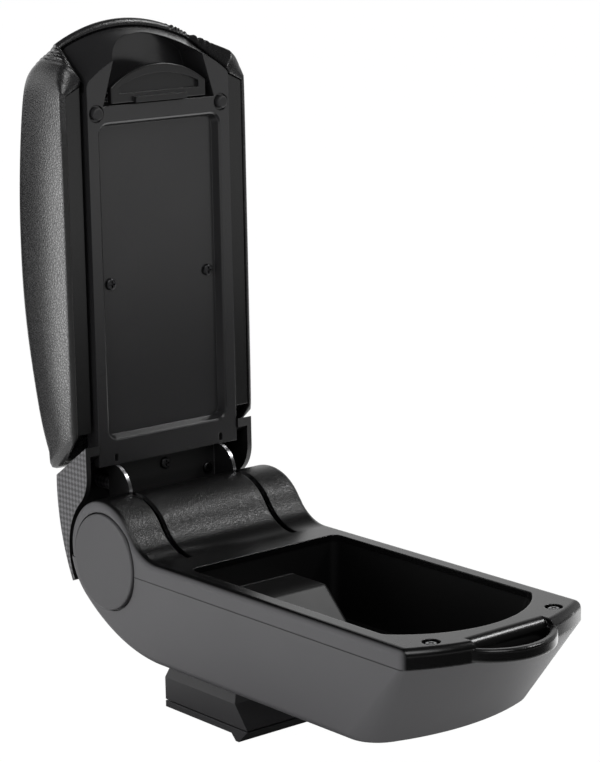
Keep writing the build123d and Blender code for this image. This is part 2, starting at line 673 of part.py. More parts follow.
def inner_panel():
    outline = bowed_outline(PANEL_WIDTH, PANEL_CORNER_Z, PANEL_BULGE, PANEL_CORNER_RADIUS, PANEL_FOOT_Z)
    panel = behind(outline, PANEL_Y, WALL)
    skin = WALL + TRAY_DRAFT
    shell = frame_outline(RECESS_WIDTH + 2 * skin, RECESS_FOOT_Z - skin, RECESS_TOP_Z + skin)
    panel += behind(shell, PANEL_Y, TRAY_DEPTH + WALL)
    panel -= tray_recess()
    for side in SIDES:
        edge_x = side * (PANEL_WIDTH / 2 - WALL / 2)
        wall = Pos(edge_x, 0) * frame_outline(WALL, PANEL_FOOT_Z, PANEL_CORNER_Z - PANEL_CORNER_RADIUS)
        panel += behind(wall, PANEL_Y, PANEL_SIDE_DEPTH)
    nose = nose_body(0)
    hollow = nose_body(WALL) - behind(frame_outline(PANEL_WIDTH, NOSE_BASE_Z, POCKET_TOP_Z), PANEL_Y, WALL)
    panel += nose - hollow
    panel += behind(pocket_outline(WALL), PANEL_Y, POCKET_DEPTH + WALL) & nose
    panel -= behind(pocket_outline(0), PANEL_Y - WALL, POCKET_DEPTH + WALL)
    panel -= rod(PIN_RADIUS + RUNNING_GAP, -PANEL_WIDTH / 2, PANEL_WIDTH, PIN_Y, PIN_Z)
    for side in SIDES:
        seat = Pos(side * BUMPER_X, BUMPER_Z) * Circle(BUMPER_SEAT_RADIUS)
        panel -= behind(seat, PANEL_Y, BUMPER_SEAT_DEPTH)
        hole = Pos(side * TRAY_SCREW_X, TRAY_SCREW_Z) * Circle(SHANK_RADIUS + SCREW_GAP)
        panel -= behind(hole, PANEL_Y, 2 * TRAY_DEPTH)
        arm_hole = RectangleRounded(ARM_HOLE_WIDTH, ARM_HOLE_HEIGHT, ARM_HOLE_WIDTH * 0.45)
        panel -= behind(Pos(side * ARM_X, ARM_HOLE_Z) * arm_hole, PANEL_Y, WALL)
        place = Pos(side * PANEL_SCREW_X, PANEL_SCREW_Z)
        boss_y = PANEL_Y + WALL / 2
        panel += behind(place * Circle(BOSS_RADIUS), boss_y, PLATE_Y - boss_y)
        pilot = place * Circle(SHANK_RADIUS + SCREW_GAP)
        panel -= behind(pilot, PLATE_Y - PANEL_SCREW_GRIP, PANEL_SCREW_GRIP)
    return panel


def bumper(side):
    """Rubber stop seated in its ring recess, with a rounded tip."""
    stem = behind(Circle(BUMPER_RADIUS), PANEL_Y - BUMPER_HEIGHT, BUMPER_HEIGHT + BUMPER_SEAT_DEPTH)
    stem = fillet(stem.edges().sort_by(Axis.Y)[0], BUMPER_RADIUS * 0.4)
    return Pos(side * BUMPER_X, 0, BUMPER_Z) * stem


def facing_screw(x, seat_y, z, shank_length):
    """Screw driven backwards along +Y, its head in front of the seat."""
    return Pos(x, seat_y, z) * Rot(90, 0, 0) * cross_screw(shank_length)


def tray_screws():
    screws = Part()
    for side in SIDES:
        screws += facing_screw(side * TRAY_SCREW_X, TRAY_FLOOR_Y, TRAY_SCREW_Z, SHANK_LENGTH * 0.7)
    return screws


def lever_outline(inset):
    """D outline of the latch lever."""
    half = LEVER_WIDTH / 2 - inset
    foot_z = POCKET_BASE_Z + LEVER_GAP + inset
    arch = ThreePointArc((half, LEVER_SHOULDER_Z), (0, LEVER_TOP_Z - inset), (-half, LEVER_SHOULDER_Z))
    sides = Polyline((-half, LEVER_SHOULDER_Z), (-half, foot_z), (half, foot_z), (half, LEVER_SHOULDER_Z))
    return make_face(arch + sides)


def latch_lever():
    """D-shaped dish with a pivot barrel behind it on two ears and a strip along its base."""
    lever = behind(lever_outline(0), PANEL_Y, LEVER_THICKNESS)
    lever = fillet(lever.faces().sort_by(Axis.Y)[0].edges(), LEVER_EDGE)
    lever -= behind(lever_outline(LEVER_RIM), PANEL_Y, LEVER_THICKNESS - LEVER_WEB)
    foot_z = POCKET_BASE_Z + LEVER_GAP
    strip = block(
        (-STRIP_WIDTH / 2, PANEL_Y - STRIP_REACH, foot_z), (STRIP_WIDTH / 2, PANEL_Y, foot_z + STRIP_HEIGHT)
    )
    lever += strip
    for side in SIDES:
        ear_x = side * LEVER_EAR_X - LEVER_EAR_THICKNESS / 2
        lever += block(
            (ear_x, PANEL_Y + LEVER_THICKNESS - LEVER_WEB, PIN_Z - BARREL_RADIUS),
            (ear_x + LEVER_EAR_THICKNESS, PIN_Y, PIN_Z + BARREL_RADIUS)
        )
        lever += rod(BARREL_RADIUS, ear_x, LEVER_EAR_THICKNESS, PIN_Y, PIN_Z)
    return lever - rod(PIN_RADIUS + RUNNING_GAP, -HALF, DECK_WIDTH, PIN_Y, PIN_Z)


def latch_pin():
    reach = POCKET_BASE_WIDTH / 2 + WALL / 2
    return rod(PIN_RADIUS, -reach, 2 * reach, PIN_Y, PIN_Z)


def latch_spring():
    """Torsion spring round the pin beside the left ear."""
    height = SPRING_PITCH * SPRING_TURNS
    helix = Helix(SPRING_PITCH, height, SPRING_RADIUS)
    coil = sweep(Plane(helix @ 0, z_dir=helix % 0) * Circle(SPRING_WIRE), path=helix)
    start_x = -LEVER_EAR_X + LEVER_EAR_THICKNESS
    return Pos(start_x, PIN_Y, PIN_Z) * Rot(0, 90, 0) * coil


def arm_profile():
    """Side view of a bracket arm: rounded front shoulder, back edge on the plate, eye at the hinge."""
    front_y = HINGE_Y + ARM_FRONT_SET_BACK
    back_y = PLATE_Y + STEEL
    top_z = PANEL_FOOT_Z
    swell = (front_y + (PLATE_Y - front_y) * 0.22, ARM_SHOULDER_Z + (top_z - ARM_SHOULDER_Z) * 0.66)
    shoulder = ThreePointArc((front_y, ARM_SHOULDER_Z), swell, (PLATE_Y - STEEL, top_z))
    rest = Polyline(
        (PLATE_Y - STEEL, top_z), (back_y, top_z), (back_y, PLATE_FOOT_Z), (HINGE_Y + EYE_RADIUS, HINGE_Z),
        (HINGE_Y - EYE_RADIUS * 0.6, HINGE_Z + EYE_RADIUS * 0.8), (front_y, ARM_SHOULDER_Z)
    )
    return make_face(shoulder + rest) + Pos(HINGE_Y, HINGE_Z) * Circle(EYE_RADIUS)


def hinge_bracket():
    """Folded steel U: a plate behind the panel's foot and two arms down to the shaft."""
    bracket = behind(frame_outline(2 * ARM_X + STEEL, PLATE_FOOT_Z, PLATE_TOP_Z), PLATE_Y, STEEL)
    for side in SIDES:
        bracket += across_from(arm_profile(), side * ARM_X - STEEL / 2, STEEL)
    bracket -= rod(BUSH_RADIUS + RUNNING_GAP, -HALF, DECK_WIDTH, HINGE_Y, HINGE_Z)
    for x, z in bracket_screw_places():
        bracket -= behind(Pos(x, z) * Circle(SHANK_RADIUS + SCREW_GAP), PLATE_Y, STEEL)
    for side in SIDES:
        hole = Pos(side * PANEL_SCREW_X, PANEL_SCREW_Z) * Circle(SHANK_RADIUS + SCREW_GAP)
        bracket -= behind(hole, PLATE_Y, STEEL)
    return bracket


def panel_screws():
    """Two screws from behind the bracket's plate into the panel's bosses."""
    screws = Part()
    for side in SIDES:
        place = Pos(side * PANEL_SCREW_X, PLATE_Y + STEEL, PANEL_SCREW_Z)
        screws += place * Rot(-90, 0, 0) * cross_screw(STEEL + PANEL_SCREW_GRIP - SCREW_GAP)
    return screws


def bracket_screw_places():
    return [(0, CENTRE_SCREW_Z), (-SIDE_SCREW_X, SIDE_SCREW_Z), (SIDE_SCREW_X, SIDE_SCREW_Z)]


def bracket_screws():
    screws = Part()
    for x, z in bracket_screw_places():
        screws += facing_screw(x, PLATE_Y, z, SHANK_LENGTH)
    return screws


def hinge_bush(side):
    """Flanged bush in the eye of a bracket arm, running on the shaft."""
    mid = side * ARM_X
    bush = rod(BUSH_RADIUS, mid - BUSH_LENGTH / 2, BUSH_LENGTH, HINGE_Y, HINGE_Z)
    flange_x = mid + STEEL / 2 if side > 0 else mid - STEEL / 2 - BUSH_FLANGE
    bush += rod(BUSH_FLANGE_RADIUS, flange_x, BUSH_FLANGE, HINGE_Y, HINGE_Z)
    return bush - rod(SHAFT_RADIUS + RUNNING_GAP, -HALF, DECK_WIDTH, HINGE_Y, HINGE_Z)


def cover_profile():
    """Side view of the rear cover: straight front, round mouth over the drum and a tail behind it."""
    mouth_radius = DRUM_RADIUS + COVER_CLEARANCE
    mouth_z = HINGE_Z + sqrt(mouth_radius**2 - COVER_FRONT_SET_BACK**2)
    tail = radians(TAIL_ANGLE)
    tail_inner = (HINGE_Y + mouth_radius * cos(tail), HINGE_Z - mouth_radius * sin(tail))
    tail_outer = (tail_inner[0] + TAIL_THICKNESS * cos(tail), tail_inner[1] - TAIL_THICKNESS * sin(tail))
    middle = radians(TAIL_ANGLE / 4)
    mouth_mid = (HINGE_Y + mouth_radius * cos(middle), HINGE_Z + mouth_radius * sin(middle))
    mouth = ThreePointArc(tail_inner, mouth_mid, (COVER_FRONT_Y, mouth_z))
    waist = (COVER_WAIST_Y, HINGE_Z + COVER_BACK_Z * 0.2)
    back = ThreePointArc((COVER_BACK_Y, COVER_BACK_Z), waist, tail_outer)
    rest = Polyline((COVER_FRONT_Y, mouth_z), (COVER_FRONT_Y, COVER_TOP_Z), (COVER_BACK_Y, COVER_BACK_Z))
    face = make_face(mouth + rest + back + Line(tail_outer, tail_inner))
    corner = face.vertices().sort_by_distance((COVER_FRONT_Y, mouth_z))[0]
    return fillet(corner, COVER_ROUND)


def rear_cover():
    """Shell with two cheeks, a back wall and bosses for the bracket's screws."""
    half = COVER_WIDTH / 2
    cover = across(cover_profile(), half)
    inside = Pos(-COVER_WALL, -COVER_WALL) * cover_profile()
    inside += Pos(-2 * COVER_WALL, -COVER_WALL) * cover_profile()
    cavity = across(inside, half - COVER_WALL)
    cover -= cavity & block((-half, 0, -HULL_DEPTH), (half, COVER_BACK_Y, COVER_TOP_Z - COVER_WALL))
    for x, z in bracket_screw_places():
        boss = behind(Pos(x, z) * Circle(BOSS_RADIUS), PLATE_Y + STEEL, COVER_BACK_Y - PLATE_Y)
        boss -= behind(Pos(x, z) * Circle(SHANK_RADIUS + SCREW_GAP), PLATE_Y, SHANK_LENGTH + STEEL)
        cover += boss & across(cover_profile(), half)
    window = PANEL_WIDTH / 2 + SLIDE_GAP
    window_back_y = PANEL_Y + PANEL_SIDE_DEPTH + SLIDE_GAP
    window_low = (-window, COVER_FRONT_Y - WALL, PANEL_FOOT_Z - WALL)
    return cover - block(window_low, (window, window_back_y, COVER_TOP_Z + WALL))


def slide_rail(side):
    """T-shaped rail screwed behind the panel's recess."""
    x = side * TRAY_SCREW_X
    head_y = BASE_PLATE_Y - SLIDE_GAP - RAIL_HEAD_THICKNESS
    top_z = RAIL_FOOT_Z + RAIL_LENGTH
    rail = block((x - RAIL_STEM / 2, TRAY_BACK_Y, RAIL_FOOT_Z), (x + RAIL_STEM / 2, head_y, top_z))
    head_back_y = head_y + RAIL_HEAD_THICKNESS
    rail += block((x - RAIL_HEAD / 2, head_y, RAIL_FOOT_Z), (x + RAIL_HEAD / 2, head_back_y, top_z))
    pilot = Pos(x, TRAY_SCREW_Z) * Circle(SHANK_RADIUS + SCREW_GAP)
    return rail - behind(pilot, PANEL_Y, SHANK_LENGTH * 0.7 + TRAY_DEPTH)


def rail_guides():
    """Lips under the base plate that hold the heads of the rails."""
    head_y = BASE_PLATE_Y - SLIDE_GAP - RAIL_HEAD_THICKNESS
    wall_x = RAIL_HEAD / 2 + SLIDE_GAP
    lip_back = head_y - SLIDE_GAP
    lip_front = lip_back - (lip_back - TRAY_BACK_Y) * 0.6
    guides = Part()
    for side in SIDES:
        for hand in SIDES:
            x = side * TRAY_SCREW_X
            near = x + hand * (RAIL_STEM / 2 + SLIDE_GAP)
            far = x + hand * (wall_x + WALL)
            face = x + hand * wall_x
            top_z = BASE_PLATE_TOP_Z
            lip = block((min(near, far), lip_front, BASE_FOOT_Z), (max(near, far), lip_back, top_z))
            wall = block((min(face, far), lip_front, BASE_FOOT_Z), (max(face, far), BASE_PLATE_Y, top_z))
            guides += lip + wall
    return guides


def cushion_base():
    """Carrier of the padded top: plate, side walls and the edge strips beside the panel."""
    half = BASE_WIDTH / 2
    base = block((-half, BASE_PLATE_Y, BASE_FOOT_Z), (half, BASE_BACK_Y, BASE_PLATE_TOP_Z))
    for side in SIDES:
        strip_in = side * STRIP_INNER_X
        edge = side * half
        wall_top = BASE_TOP_Z - BASE_SLOPE
        strip = Polyline(
            (strip_in, BASE_FOOT_Z), (edge, BASE_FOOT_Z), (edge, wall_top), (strip_in, BASE_TOP_Z), close=True
        )
        base += behind(make_face(strip), BASE_Y, WALL)
        wall_in = side * (half - WALL)
        base += block((min(wall_in, edge), BASE_Y, BASE_FOOT_Z), (max(wall_in, edge), BASE_BACK_Y, wall_top))
    return base + rail_guides()


def pad_profile():
    """Side view of the padded top: slanting foot, crowned back and rounded front."""
    lip_y = PANEL_Y + PAD_LIP_SET_BACK
    foot = (PAD_FOOT_BACK_Y, PAD_FOOT_BACK_Z)
    nose = (PAD_NOSE_BACK_Y, PAD_TOP_Z)
    middle = (PAD_FOOT_BACK_Z + PAD_TOP_Z) / 2
    quarter = (PAD_TOP_Z - PAD_FOOT_BACK_Z) / 4
    shoulder_low = PAD_FOOT_BACK_Y + (PAD_CROWN_Y - PAD_FOOT_BACK_Y) * 0.76
    shoulder_high = PAD_CROWN_Y - (PAD_CROWN_Y - PAD_NOSE_BACK_Y) * 0.22
    back = Spline(
        foot, (shoulder_low, middle - quarter), (PAD_CROWN_Y, middle), (shoulder_high, middle + quarter), nose
    )
    front = Polyline(nose, (lip_y, PAD_TOP_Z), (lip_y, PAD_FOOT_FRONT_Z), foot)
    return make_face(back + front)


def cushion_pad():
    """Closed solid of the padded top, hollowed for its base, the panel and the sliding nose."""
    outline = bowed_outline(
        PAD_WIDTH, PAD_CORNER_Z, PAD_TOP_Z - PAD_CORNER_Z, PAD_CORNER_RADIUS, PAD_FOOT_BACK_Z
    )
    pad = across(pad_profile(), PAD_WIDTH / 2) & behind(outline, PANEL_Y, PAD_CROWN_Y)
    quarter = PAD_WIDTH / 4
    back_edges = pad.edges().filter_by(lambda e: e.center().Y > NOSE_BACK_Y and abs(e.center().X) > quarter)
    pad = fillet(back_edges, PAD_ROUND)
    ramp = Polyline(
        (PANEL_Y - WALL, PAD_RAMP_Z), (BASE_Y, PAD_RAMP_Z), (NOSE_BACK_Y, NOSE_BACK_CORNER_Z),
        (NOSE_BACK_Y, PAD_TOP_Z + WALL), (PANEL_Y - WALL, PAD_TOP_Z + WALL), close=True
    )
    pad -= across(make_face(ramp), PAD_WIDTH)
    half = BASE_WIDTH / 2 + PAD_GAP
    front_y = PANEL_Y - WALL
    bed_low = (-half, front_y, PAD_FOOT_BACK_Z - WALL)
    pad -= block(bed_low, (half, BASE_BACK_Y + PAD_GAP, BASE_TOP_Z + PAD_GAP))
    tunnel = PANEL_WIDTH / 2 + SLIDE_GAP
    tunnel_back_y = NOSE_BACK_Y + SLIDE_GAP
    pad -= block((-tunnel, front_y, BASE_PLATE_TOP_Z), (tunnel, tunnel_back_y, NOSE_BACK_CORNER_Z))
    nose_room = bowed_outline(
        NOSE_BACK_WIDTH + 2 * SLIDE_GAP, NOSE_BACK_CORNER_Z + SLIDE_GAP, NOSE_BACK_BULGE,
        PANEL_CORNER_RADIUS, BASE_PLATE_TOP_Z
    )
    return pad - behind(nose_room, PANEL_Y - WALL, NOSE_DEPTH + WALL + SLIDE_GAP)


def write(name, shape):
    export_step(PLACE * shape, f"parts/{name}.step")


os.makedirs("parts", exist_ok=True)
write("lower_hull", lower_hull())
write("top_tray", top_tray())
write("hinge_shaft", hinge_shaft())
write("shaft_clips", shaft_clips())
write("rim_screws", rim_screws())
write("foot_block", foot_block())
write("foot_plate", foot_plate())
write("foot_screws", foot_screws())
write("plate_screws", plate_screws())
write("inner_panel", inner_panel())
write("tray_screws", tray_screws())
write("hinge_bracket", hinge_bracket())
write("bracket_screws", bracket_screws())
write("panel_screws", panel_screws())
write("rear_cover", rear_cover())
write("latch_lever", latch_lever())
write("latch_pin", latch_pin())
write("latch_spring", latch_spring())
write("cushion_base", cushion_base())
write("cushion_pad", cushion_pad())
for side, hand in zip(SIDES, ("left", "right")):
    write(f"side_cap_{hand}", side_cap(side))
    write(f"bumper_{hand}", bumper(side))
    write(f"hinge_bush_{hand}", hinge_bush(side))
    write(f"slide_rail_{hand}", slide_rail(side))
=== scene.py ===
"""Looks of a car centre armrest: materials for its solids, its padded top and the studio."""

from math import cos, radians, sin
from types import SimpleNamespace

import bmesh
import bpy
import numpy as np
from mathutils import Matrix, Vector


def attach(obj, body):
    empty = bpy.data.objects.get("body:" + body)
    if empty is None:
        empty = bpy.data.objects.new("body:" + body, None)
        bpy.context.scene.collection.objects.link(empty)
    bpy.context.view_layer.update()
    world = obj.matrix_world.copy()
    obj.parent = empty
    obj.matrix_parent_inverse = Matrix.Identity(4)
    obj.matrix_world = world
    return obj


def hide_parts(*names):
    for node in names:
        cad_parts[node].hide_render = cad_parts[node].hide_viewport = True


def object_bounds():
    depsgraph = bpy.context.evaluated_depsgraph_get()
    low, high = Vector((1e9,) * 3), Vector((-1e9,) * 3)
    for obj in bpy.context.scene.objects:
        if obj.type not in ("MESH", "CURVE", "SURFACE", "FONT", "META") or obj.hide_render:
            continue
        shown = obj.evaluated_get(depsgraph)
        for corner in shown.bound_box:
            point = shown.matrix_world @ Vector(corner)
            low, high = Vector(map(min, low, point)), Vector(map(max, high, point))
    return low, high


# Camera and pad are in millimetres from the deck: z = 0 on its top, y = 0 at the bin's rear edge.
MM = 0.001
ORIGIN_Y = 19.0
ORIGIN_Z = -92.0

# Camera of the photograph
IMAGE_HEIGHT = 762
FOCAL_PIXELS = 2554.858
SENSOR = 36.0
CAMERA_AZIMUTH = -39.586
CAMERA_ELEVATION = 12.046
CAMERA_ROLL = -1.04
CAMERA_DISTANCE = 1312.498
CAMERA_TARGET = (0.0, -32.833, 97.428)

# Padded top: outline
PAD_HALF = 62.0
PAD_ARCH_Z = 187.0
PAD_ARCH_RADIUS = 89.5
PAD_HEEL_Z = 99.0
PAD_HEEL_DROP = 66.5
CORNER_POWER = 28.0

# Padded top: crowned back, shoulder, side wall and slanting underside
PAD_CROWN_Y = 137.5
PAD_CROWN_Z = 156.0
PAD_HEEL_FALL = 24.0
PAD_TOE_FALL = 20.0
PAD_FALL_POWER = 2.2
PAD_HALF_LENGTH = 119.25
PAD_SHOULDER = 13.0
HEEL_SHOULDER = 4.5
HEEL_SHOULDER_TURN = (0.84, 0.72)
PAD_CROWN = 1.5
SHOULDER_BLEND = 3.0
WALL_LEAST = 0.4
SIDE_BULGE = 1.0
SIDE_LEAN = 0.3
UNDERSIDE_SLOPE = 18.5 / 27.5
UNDERSIDE_Y = 112.0
UNDERSIDE_RISE = 6.0
UNDERSIDE_ROUND = 8.0

# Padded top: rolled lip and the hollow for base and nose
LIP_Y = 83.7
LIP_SHARE = 0.8
LIP_LEAST = 2.6
LIP_MOST = 7.0
# Painted shade on the rolled lip: how far round the lip it grows, and how weak it is over the arch
LIP_SHADE_END = 0.3
ARCH_LIP_SHADE = 0.15
INNER_HALF = 58.9
STRIP_OUTER_Z = 240.6
STRIP_INNER = (50.0, 245.0)
NOSE_FOOT = (48.5, 247.8)
NOSE_FOOT_Y = 84.3
NOSE_HALF = 42.8
NOSE_CORNER_Z = 263.2
NOSE_BULGE = 9.5
NOSE_BACK_Y = 110.6
FLOOR_Y = 98.95
TUNNEL_Y = 110.75
TUNNEL_Z = (160.0, 172.0)
HEEL_LIP_TURN = (0.775, 0.70)
HEEL_LIP = 1.5

# Padded top: gathers, as degrees from the top of the arch, heights and waves to a radian
TUCK_START = (29.0, 31.5)
TUCK_END = (40.5, 36.0)
TUCK_HEIGHT = 1.25
TUCK_WAVES = (195.0, 0.9, 61.0)
BEAD_START = (18.0, 21.0)
BEAD_END = (36.0, 31.0)
BEAD_HEIGHT = 0.85
BEAD_WAVES = (205.0, 2.0, 43.0)
GATHER_REACH = 12.0
BACK_GATHER = 0.8

# Padded top: columns and rings of its mesh
ARCH_BANDS = ((90, 48, 34), (48, 29, 76), (29, 25, 8), (25, 7, 66), (7, 0, 8))
SIDE_COLUMNS = 44
HEEL_COLUMNS = 110
NOSE_POINTS = 24
LIP_POINTS = 500
BACK_RINGS = 16
SHOULDER_RINGS = 15
SHOULDER_SHARE = 0.26
SHOULDER_CROWDING = 1.7
WALL_RINGS = 13
LIP_RINGS = 9
HOLLOW_SHARES = (0.08, 0.5, 1.0)
HOLLOW_RINGS = 8
WELD = 0.02

# Areas of the tray, its joint with the hull, bracket arms and weave, in metres from the part's zero
FLANK_X = (0.0578, 0.0592)
FLANK_FRONT_Y = (-0.1975, -0.1935)
BIN_Z = (0.0890, 0.0875)
BIN_FRONT_Y = (-0.1900, -0.1850)
HUMP_Z = (0.0935, 0.1000)
JOINT_Z = 0.082
JOINT_HALF = (0.00032, 0.00018)
JOINT_X = (0.0590, 0.0594)
ARM_X = (0.0343, 0.0347)
WEAVE_PITCH = 0.0060
FULL_TURN = 6.2832

# Tint of the greys, and tones with the darkest first
TINT = (1.0, 0.985, 1.04)
GREY_TONE = (0.066, 0.073)
DECK_TONE = (0.0010, 0.0018)
JOINT_TONE = 0.002
VINYL_TONE = (0.014, 0.019)
# Dark tone of the vinyl's grain creases, also used as painted shade over its rolled lip
CREASE_AND_LIP_SHADE_TONE = 0.003
FILM_TONE = (0.028, 0.115)
COVER_EDGE_TONE = (0.004, 0.007)
PAINT_TONE = 0.004

# Floor and its light: metres on the floor, shares and strengths
FLOOR_HALF = 12.0
FLOOR_GAP = 0.0002
FLOOR_MIDDLE = (0.0, -0.04)
SHEET_FADE = (1.90, 0.60)
FRONT_FADE = (0.34, 0.18)
FRONT_BEND = 0.2
FRONT_SHARE = 0.87
UNDER_FADE = (0.08, 0.20)
SHEET_LEAST = 0.03
UNDER_LEAST = 0.04
RIGHT_RISE = (0.04, 0.24)
RIGHT_LIGHT = (0.95, 2.2)
REAR_Y = (0.3, 0.6)
REAR_LEFT_X = (0.2, 0.0)
REAR_DIAGONAL = (-0.05, 0.25)
REAR_DIM = 0.08
FLARE_DIAGONAL = (0.22, -0.04)
FLARE_X = (-0.40, -0.75)
FLARE_EDGE = (0.0, 0.2)
FLARE_TURN = 0.5
FLARE_LIGHT = 6.5
FAR_FRONT = (0.65, 1.25)
FAR_LIGHT = 0.9


def metres(x, y, z):
    """Points in deck millimetres as an array of metres in the part's frame."""
    x, y, z = np.broadcast_arrays(x, y, z)
    return np.stack([x, y - ORIGIN_Y, z - ORIGIN_Z], axis=-1) * MM


def smooth_step(low, high, value):
    """0 at low, 1 at high, an even S curve between."""
    t = np.clip((value - low) / (high - low), 0.0, 1.0)
    return t * t * (3.0 - 2.0 * t)


def soft_min(a, b, width):
    """Smaller of two arrays, rounded over width where they meet."""
    return 0.5 * (a + b - np.sqrt((a - b) ** 2 + width**2))


def ring_mesh(name, points, marks):
    """Object from rows of points that each close into a ring, with marks kept at the points."""
    rows, columns = points.shape[:2]
    index = np.arange(rows * columns).reshape(rows, columns)
    following = np.roll(index, -1, axis=1)
    quads = np.stack([index[:-1], following[:-1], following[1:], index[1:]], axis=-1)
    mesh = bpy.data.meshes.new(name)
    mesh.from_pydata(points.reshape(-1, 3), [], quads.reshape(-1, 4).tolist())
    for mark, values in marks.items():
        layer = mesh.attributes.new(mark, "FLOAT", "POINT")
        layer.data.foreach_set("value", np.ascontiguousarray(values.reshape(-1), dtype=np.float32))
    piece = bpy.data.objects.new(name, mesh)
    bpy.context.scene.collection.objects.link(piece)
    return piece


def weld(piece, distance):
    """Merges doubled points of a piece and turns its faces outwards."""
    work = bmesh.new()
    work.from_mesh(piece.data)
    bmesh.ops.remove_doubles(work, verts=work.verts, dist=distance)
    bmesh.ops.recalc_face_normals(work, faces=work.faces)
    work.to_mesh(piece.data)
    work.free()
    piece.data.shade_smooth()


def arch_turns():
    """Angles of the columns over the arch; the two closest bands hold most of the gathers."""
    bands = [np.linspace(start, end, count, endpoint=False) for start, end, count in ARCH_BANDS]
    half = np.concatenate(bands)
    return np.radians(np.concatenate([half, [0.0], -half[:0:-1]]))


def pad_rays():
    """Outline of the pad seen from behind: a spine point and a unit ray for each column.

    Up the right side, over the arch, down the left side and round the heel."""
    rise = np.linspace(PAD_HEEL_Z, PAD_ARCH_Z, SIDE_COLUMNS, endpoint=False)
    arch = arch_turns()
    heel = np.linspace(0.5 * np.pi, -0.5 * np.pi, HEEL_COLUMNS, endpoint=False)
    straight = np.ones(SIDE_COLUMNS)
    arch_spine = np.full(arch.size, PAD_ARCH_Z)
    heel_spine = np.full(HEEL_COLUMNS, PAD_HEEL_Z)
    spine = np.concatenate([rise, arch_spine, rise[::-1], heel_spine])
    ray_x = np.concatenate([straight, np.sin(arch), -straight, -np.sin(heel)])
    ray_z = np.concatenate([0 * straight, np.cos(arch), 0 * straight, -np.cos(heel)])
    return spine, ray_x, ray_z


def pad_reach(ray_x, ray_z):
    """Distance from spine to outline: flat sides, round arch and flat heel, in one power sum."""
    side = (np.abs(ray_x) / PAD_HALF) ** CORNER_POWER
    arch = np.where(ray_z > 0, PAD_ARCH_RADIUS**-CORNER_POWER, 0.0)
    heel = (np.clip(-ray_z, 0, 1) / PAD_HEEL_DROP) ** CORNER_POWER
    return (side + arch + heel) ** (-1.0 / CORNER_POWER)


def pad_crown(z):
    """Height line of the pad's back: a power curve that falls off towards heel and toe."""
    fall = np.where(z < PAD_CROWN_Z, PAD_HEEL_FALL, PAD_TOE_FALL)
    return PAD_CROWN_Y - fall * (np.abs(z - PAD_CROWN_Z) / PAD_HALF_LENGTH) ** PAD_FALL_POWER


def upper_lip(angle):
    """Lip over the arch, as a distance and a depth for each angle from the top.

    It follows the base's strips, turns in over their ends and runs round the back of the nose."""
    half_x = np.linspace(NOSE_HALF, 0, NOSE_POINTS)
    nose_z = NOSE_CORNER_Z + NOSE_BULGE * (1 - (half_x / NOSE_HALF) ** 2)
    nose_y = np.full(NOSE_POINTS, NOSE_BACK_Y)
    x = np.concatenate([[INNER_HALF, INNER_HALF, STRIP_INNER[0], NOSE_FOOT[0]], half_x])
    z = np.concatenate([[PAD_ARCH_Z, STRIP_OUTER_Z, STRIP_INNER[1], NOSE_FOOT[1]], nose_z])
    y = np.concatenate([[LIP_Y, LIP_Y, LIP_Y, NOSE_FOOT_Y], nose_y])
    travel = np.cumsum(np.hypot(np.diff(x, prepend=x[0]), np.diff(z, prepend=z[0])))
    dense = np.linspace(0, travel[-1], LIP_POINTS)
    dense_x, dense_y, dense_z = (np.interp(dense, travel, v) for v in (x, y, z))
    bearing = np.arctan2(dense_x, dense_z - PAD_ARCH_Z)[::-1]
    reach = np.hypot(dense_x, dense_z - PAD_ARCH_Z)[::-1]
    return np.interp(angle, bearing, reach), np.interp(angle, bearing, dense_y[::-1])


def lip_line(ray_x, ray_z):
    """Inner edge of the vinyl all round, as a distance along each ray and a depth."""
    angle = np.arctan2(np.abs(ray_x), np.abs(ray_z))
    top_reach, top_y = upper_lip(angle)
    heel_y = LIP_Y + (FLOOR_Y - LIP_Y) * smooth_step(*HEEL_LIP_TURN, angle)
    side_reach = INNER_HALF / np.maximum(np.abs(ray_x), 1e-6)
    heel_reach = np.minimum(side_reach, pad_reach(ray_x, ray_z) - HEEL_LIP)
    upper = ray_z > 1e-9
    lower = ray_z < -1e-9
    lip_reach = np.where(upper, top_reach, np.where(lower, heel_reach, INNER_HALF))
    return lip_reach, np.where(upper, top_y, np.where(lower, heel_y, LIP_Y))


def uneven_wave(turn, waves):
    """Sine of an angle in degrees whose spacing swings; waves are its rate, swing and swing rate."""
    rate, swing, swing_rate = waves
    angle = np.radians(turn)
    return np.sin(angle * rate + swing * np.sin(angle * swing_rate))


def gathers(ray_x, ray_z):
    """Height of the tucks round the near front corner and of the beads on the far brow."""
    turn = np.degrees(np.arctan2(ray_x, ray_z))
    size = np.abs(turn)
    corner = smooth_step(*TUCK_START, size) * smooth_step(*TUCK_END, size) * (ray_x < 0)
    brow = smooth_step(*BEAD_START, size) * smooth_step(*BEAD_END, size) * (ray_x > 0)
    tuck = TUCK_HEIGHT * corner * uneven_wave(turn, TUCK_WAVES)
    bead = BEAD_HEIGHT * brow * uneven_wave(turn, BEAD_WAVES)
    return np.where(ray_z > 0, tuck + bead, 0.0)


